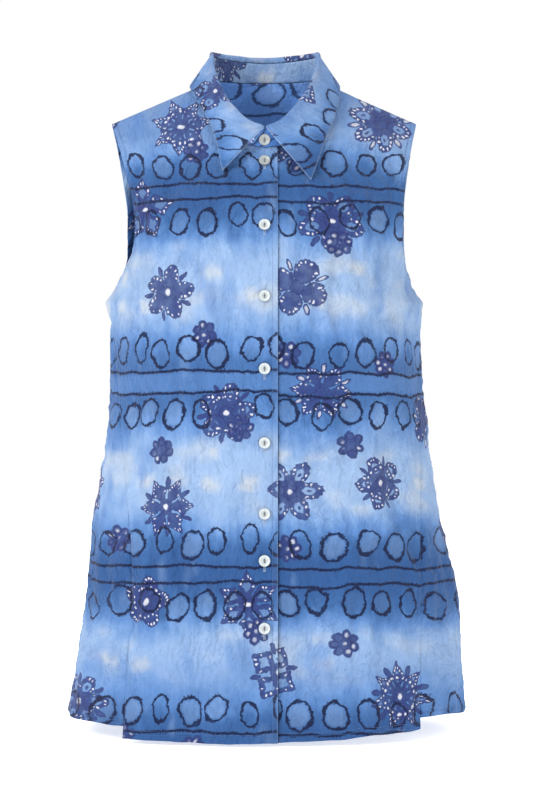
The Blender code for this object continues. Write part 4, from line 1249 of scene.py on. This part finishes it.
# two copies of one ivory: the lighter for the buttons in the light, the darker as painted shade for those
# under the collar
ivory, shadedIvory = buttonMaterial("ivory_button", 1.24), buttonMaterial("ivory_button_painted_shade", 0.74)
buttons = []
for number in range(1, 10):
    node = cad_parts[f"button_{number}"]
    co = np.array([tuple(v.co) for v in node.data.vertices])
    centre = (co.min(0) + co.max(0)) / 2
    axis = np.linalg.svd(co - co.mean(0), full_matrices=False)[2][2]
    axis = axis * (1 if axis[1] < 0 else -1)
    foot = Vector(centre + axis * ((co - centre) @ axis).min())
    turned = Vector(axis).to_track_quat("Z", "Y").to_matrix().to_4x4()
    spin = Matrix.Rotation(math.radians((number * 37) % 11 - 5), 4, "Z")
    face = shadedIvory if number <= button["shadedCount"] else ivory
    disc = placed(f"button_{number}_disc", discMesh.copy(), (face,))
    disc.matrix_world = Matrix.Translation(foot) @ turned @ spin
    buttons.append((disc, strands(f"button_{number}_thread", threadLines(disc.matrix_world),
                                  button["threadRadius"], buttonThread)))
print("buttons made")


def slotStitches(centre):  # two rows of satin stitches round an upright slot
    def onCloth(point):
        near, normal, _, _ = panelTrees[0].find_nearest(Vector(point))
        return np.array(near), np.array(-normal if normal.y > 0 else normal)

    direction = np.array((0.0, 0.0, 1.0))
    across = unit(np.cross(onCloth(centre)[1], direction))
    for part in np.linspace(-0.5, 0.5, 34):
        inside, outside = (0.0, 0.62) if abs(part) > 0.465 else (0.10, 0.5)
        for sign in (-1, 1):
            pts = []
            for t, high in ((inside, 0.00010), ((inside + outside) / 2, 0.00028), (outside, 0.00010)):
                aside = across * sign * t * button["slotWide"]
                near, normal = onCloth(centre + direction * part * button["slotLong"] + aside)
                pts.append(near + normal * (lift + high))
            yield pts


slotLines = []
for number in range(2, 10):
    low, high = (np.array(corner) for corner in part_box(f"button_{number}"))
    slotLines += slotStitches((low + high) / 2 - np.array((0, 0, button["slotDown"])))
buttonholes = strands("front_right_buttonholes", slotLines, button["slotThread"], paleThread)
print("buttonholes made")


# ---- each piece hides the part it replaces; its area against its cut size ----
clothPieces = {  # the shell, the size it was cut to, and what is sewn on it
    "front_right": (frontRight, (0.285, 0.700), [sewn["front_right"], buttonholes]),
    "front_left": (frontLeft, (0.285, 0.700), [sewn["front_left"]]),
    "back": (backPanel, (0.850, 0.700), [sewn["back"]]),
    "collar_stand": (collarStand, (0.420, 0.032), [sewn["collar_stand"]]),
    "collar_fall": (collarFall, (0.430, 0.100), [sewn["collar_fall"]]),
}


def surfaceArea(made):  # one face of the shell
    solid = made.evaluated_get(bpy.context.evaluated_depsgraph_get())
    total = sum(face.area for face in solid.to_mesh().polygons) / 2
    solid.to_mesh_clear()
    return total


for node, (piece, (wide, long), extra) in clothPieces.items():
    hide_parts(node)
    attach(piece, "root")
    for item in extra:
        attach(item, "root")
    area = surfaceArea(piece)
    print(node, "area", round(area, 4), "of", round(wide * long, 4))
    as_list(extra)
for number, (disc, sewnOn) in enumerate(buttons, start=1):
    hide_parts(f"button_{number}")
    for item in (disc, sewnOn):
        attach(item, "root")


# ---- stage, light and camera ----
stage = {
    "floorZ": -0.6898, "floorSize": 9.0, "floorGlow": 0.62, "ambient": 1.0, "aim": (0.0, 0.0, -0.33),
    "lights": {"key": ((-2.3, -2.2, 1.3), (1.2, 1.2), 84.0),  # place, size, power
               "fill": ((1.9, -2.2, 0.4), (1.6, 2.0), 22.0),
               "top": ((0.0, -0.2, 2.2), (2.6, 2.6), 22.0)},
}
bpy.ops.mesh.primitive_plane_add(size=stage["floorSize"], location=(0, 0.6, stage["floorZ"]))
floor = bpy.context.active_object
floor.name = "floor"
floorPaint = Paint("floor_white")
floorX, floorY = floorPaint.uv("UVMap")
speck = floorPaint.noise(floorX * 40.0, floorY * 40.0)
floor.data.materials.append(floorPaint.finish({
    "Base Color": floorPaint.mix(srgb(250, 250, 250), srgb(253, 253, 253), speck),
    "Roughness": 0.9, "Specular IOR Level": 0.1,
    "Emission Color": (1, 1, 1, 1), "Emission Strength": stage["floorGlow"]}))

for name, (spot, size, power) in stage["lights"].items():
    light = bpy.data.lights.new(name, "AREA")
    light.shape, light.size, light.size_y, light.energy = "RECTANGLE", size[0], size[1], power
    lamp = placed(name, light)
    lamp.location = spot
    lamp.rotation_euler = (Vector(stage["aim"]) - Vector(spot)).to_track_quat("-Z", "Y").to_euler()

world = bpy.context.scene.world or bpy.data.worlds.new("World")
bpy.context.scene.world = world
world.use_nodes = True
sky = world.node_tree.nodes["Background"]
sky.inputs["Color"].default_value = (1, 1, 1, 1)
sky.inputs["Strength"].default_value = stage["ambient"]

view = {"distance": 2.8, "x": 0.0016, "z": -0.3348, "fieldHeight": 0.864, "sensor": 24.0}
cameraData = bpy.data.cameras.new("camera")
cameraData.sensor_fit = "VERTICAL"
cameraData.sensor_height = view["sensor"]
cameraData.lens = view["sensor"] * view["distance"] / view["fieldHeight"]
camera = placed("camera", cameraData)
camera.location = (view["x"], -view["distance"], view["z"])
camera.rotation_euler = (math.pi / 2, 0, 0)
bpy.context.scene.camera = camera
bpy.context.scene.view_settings.view_transform = "Standard"

print("stage set")
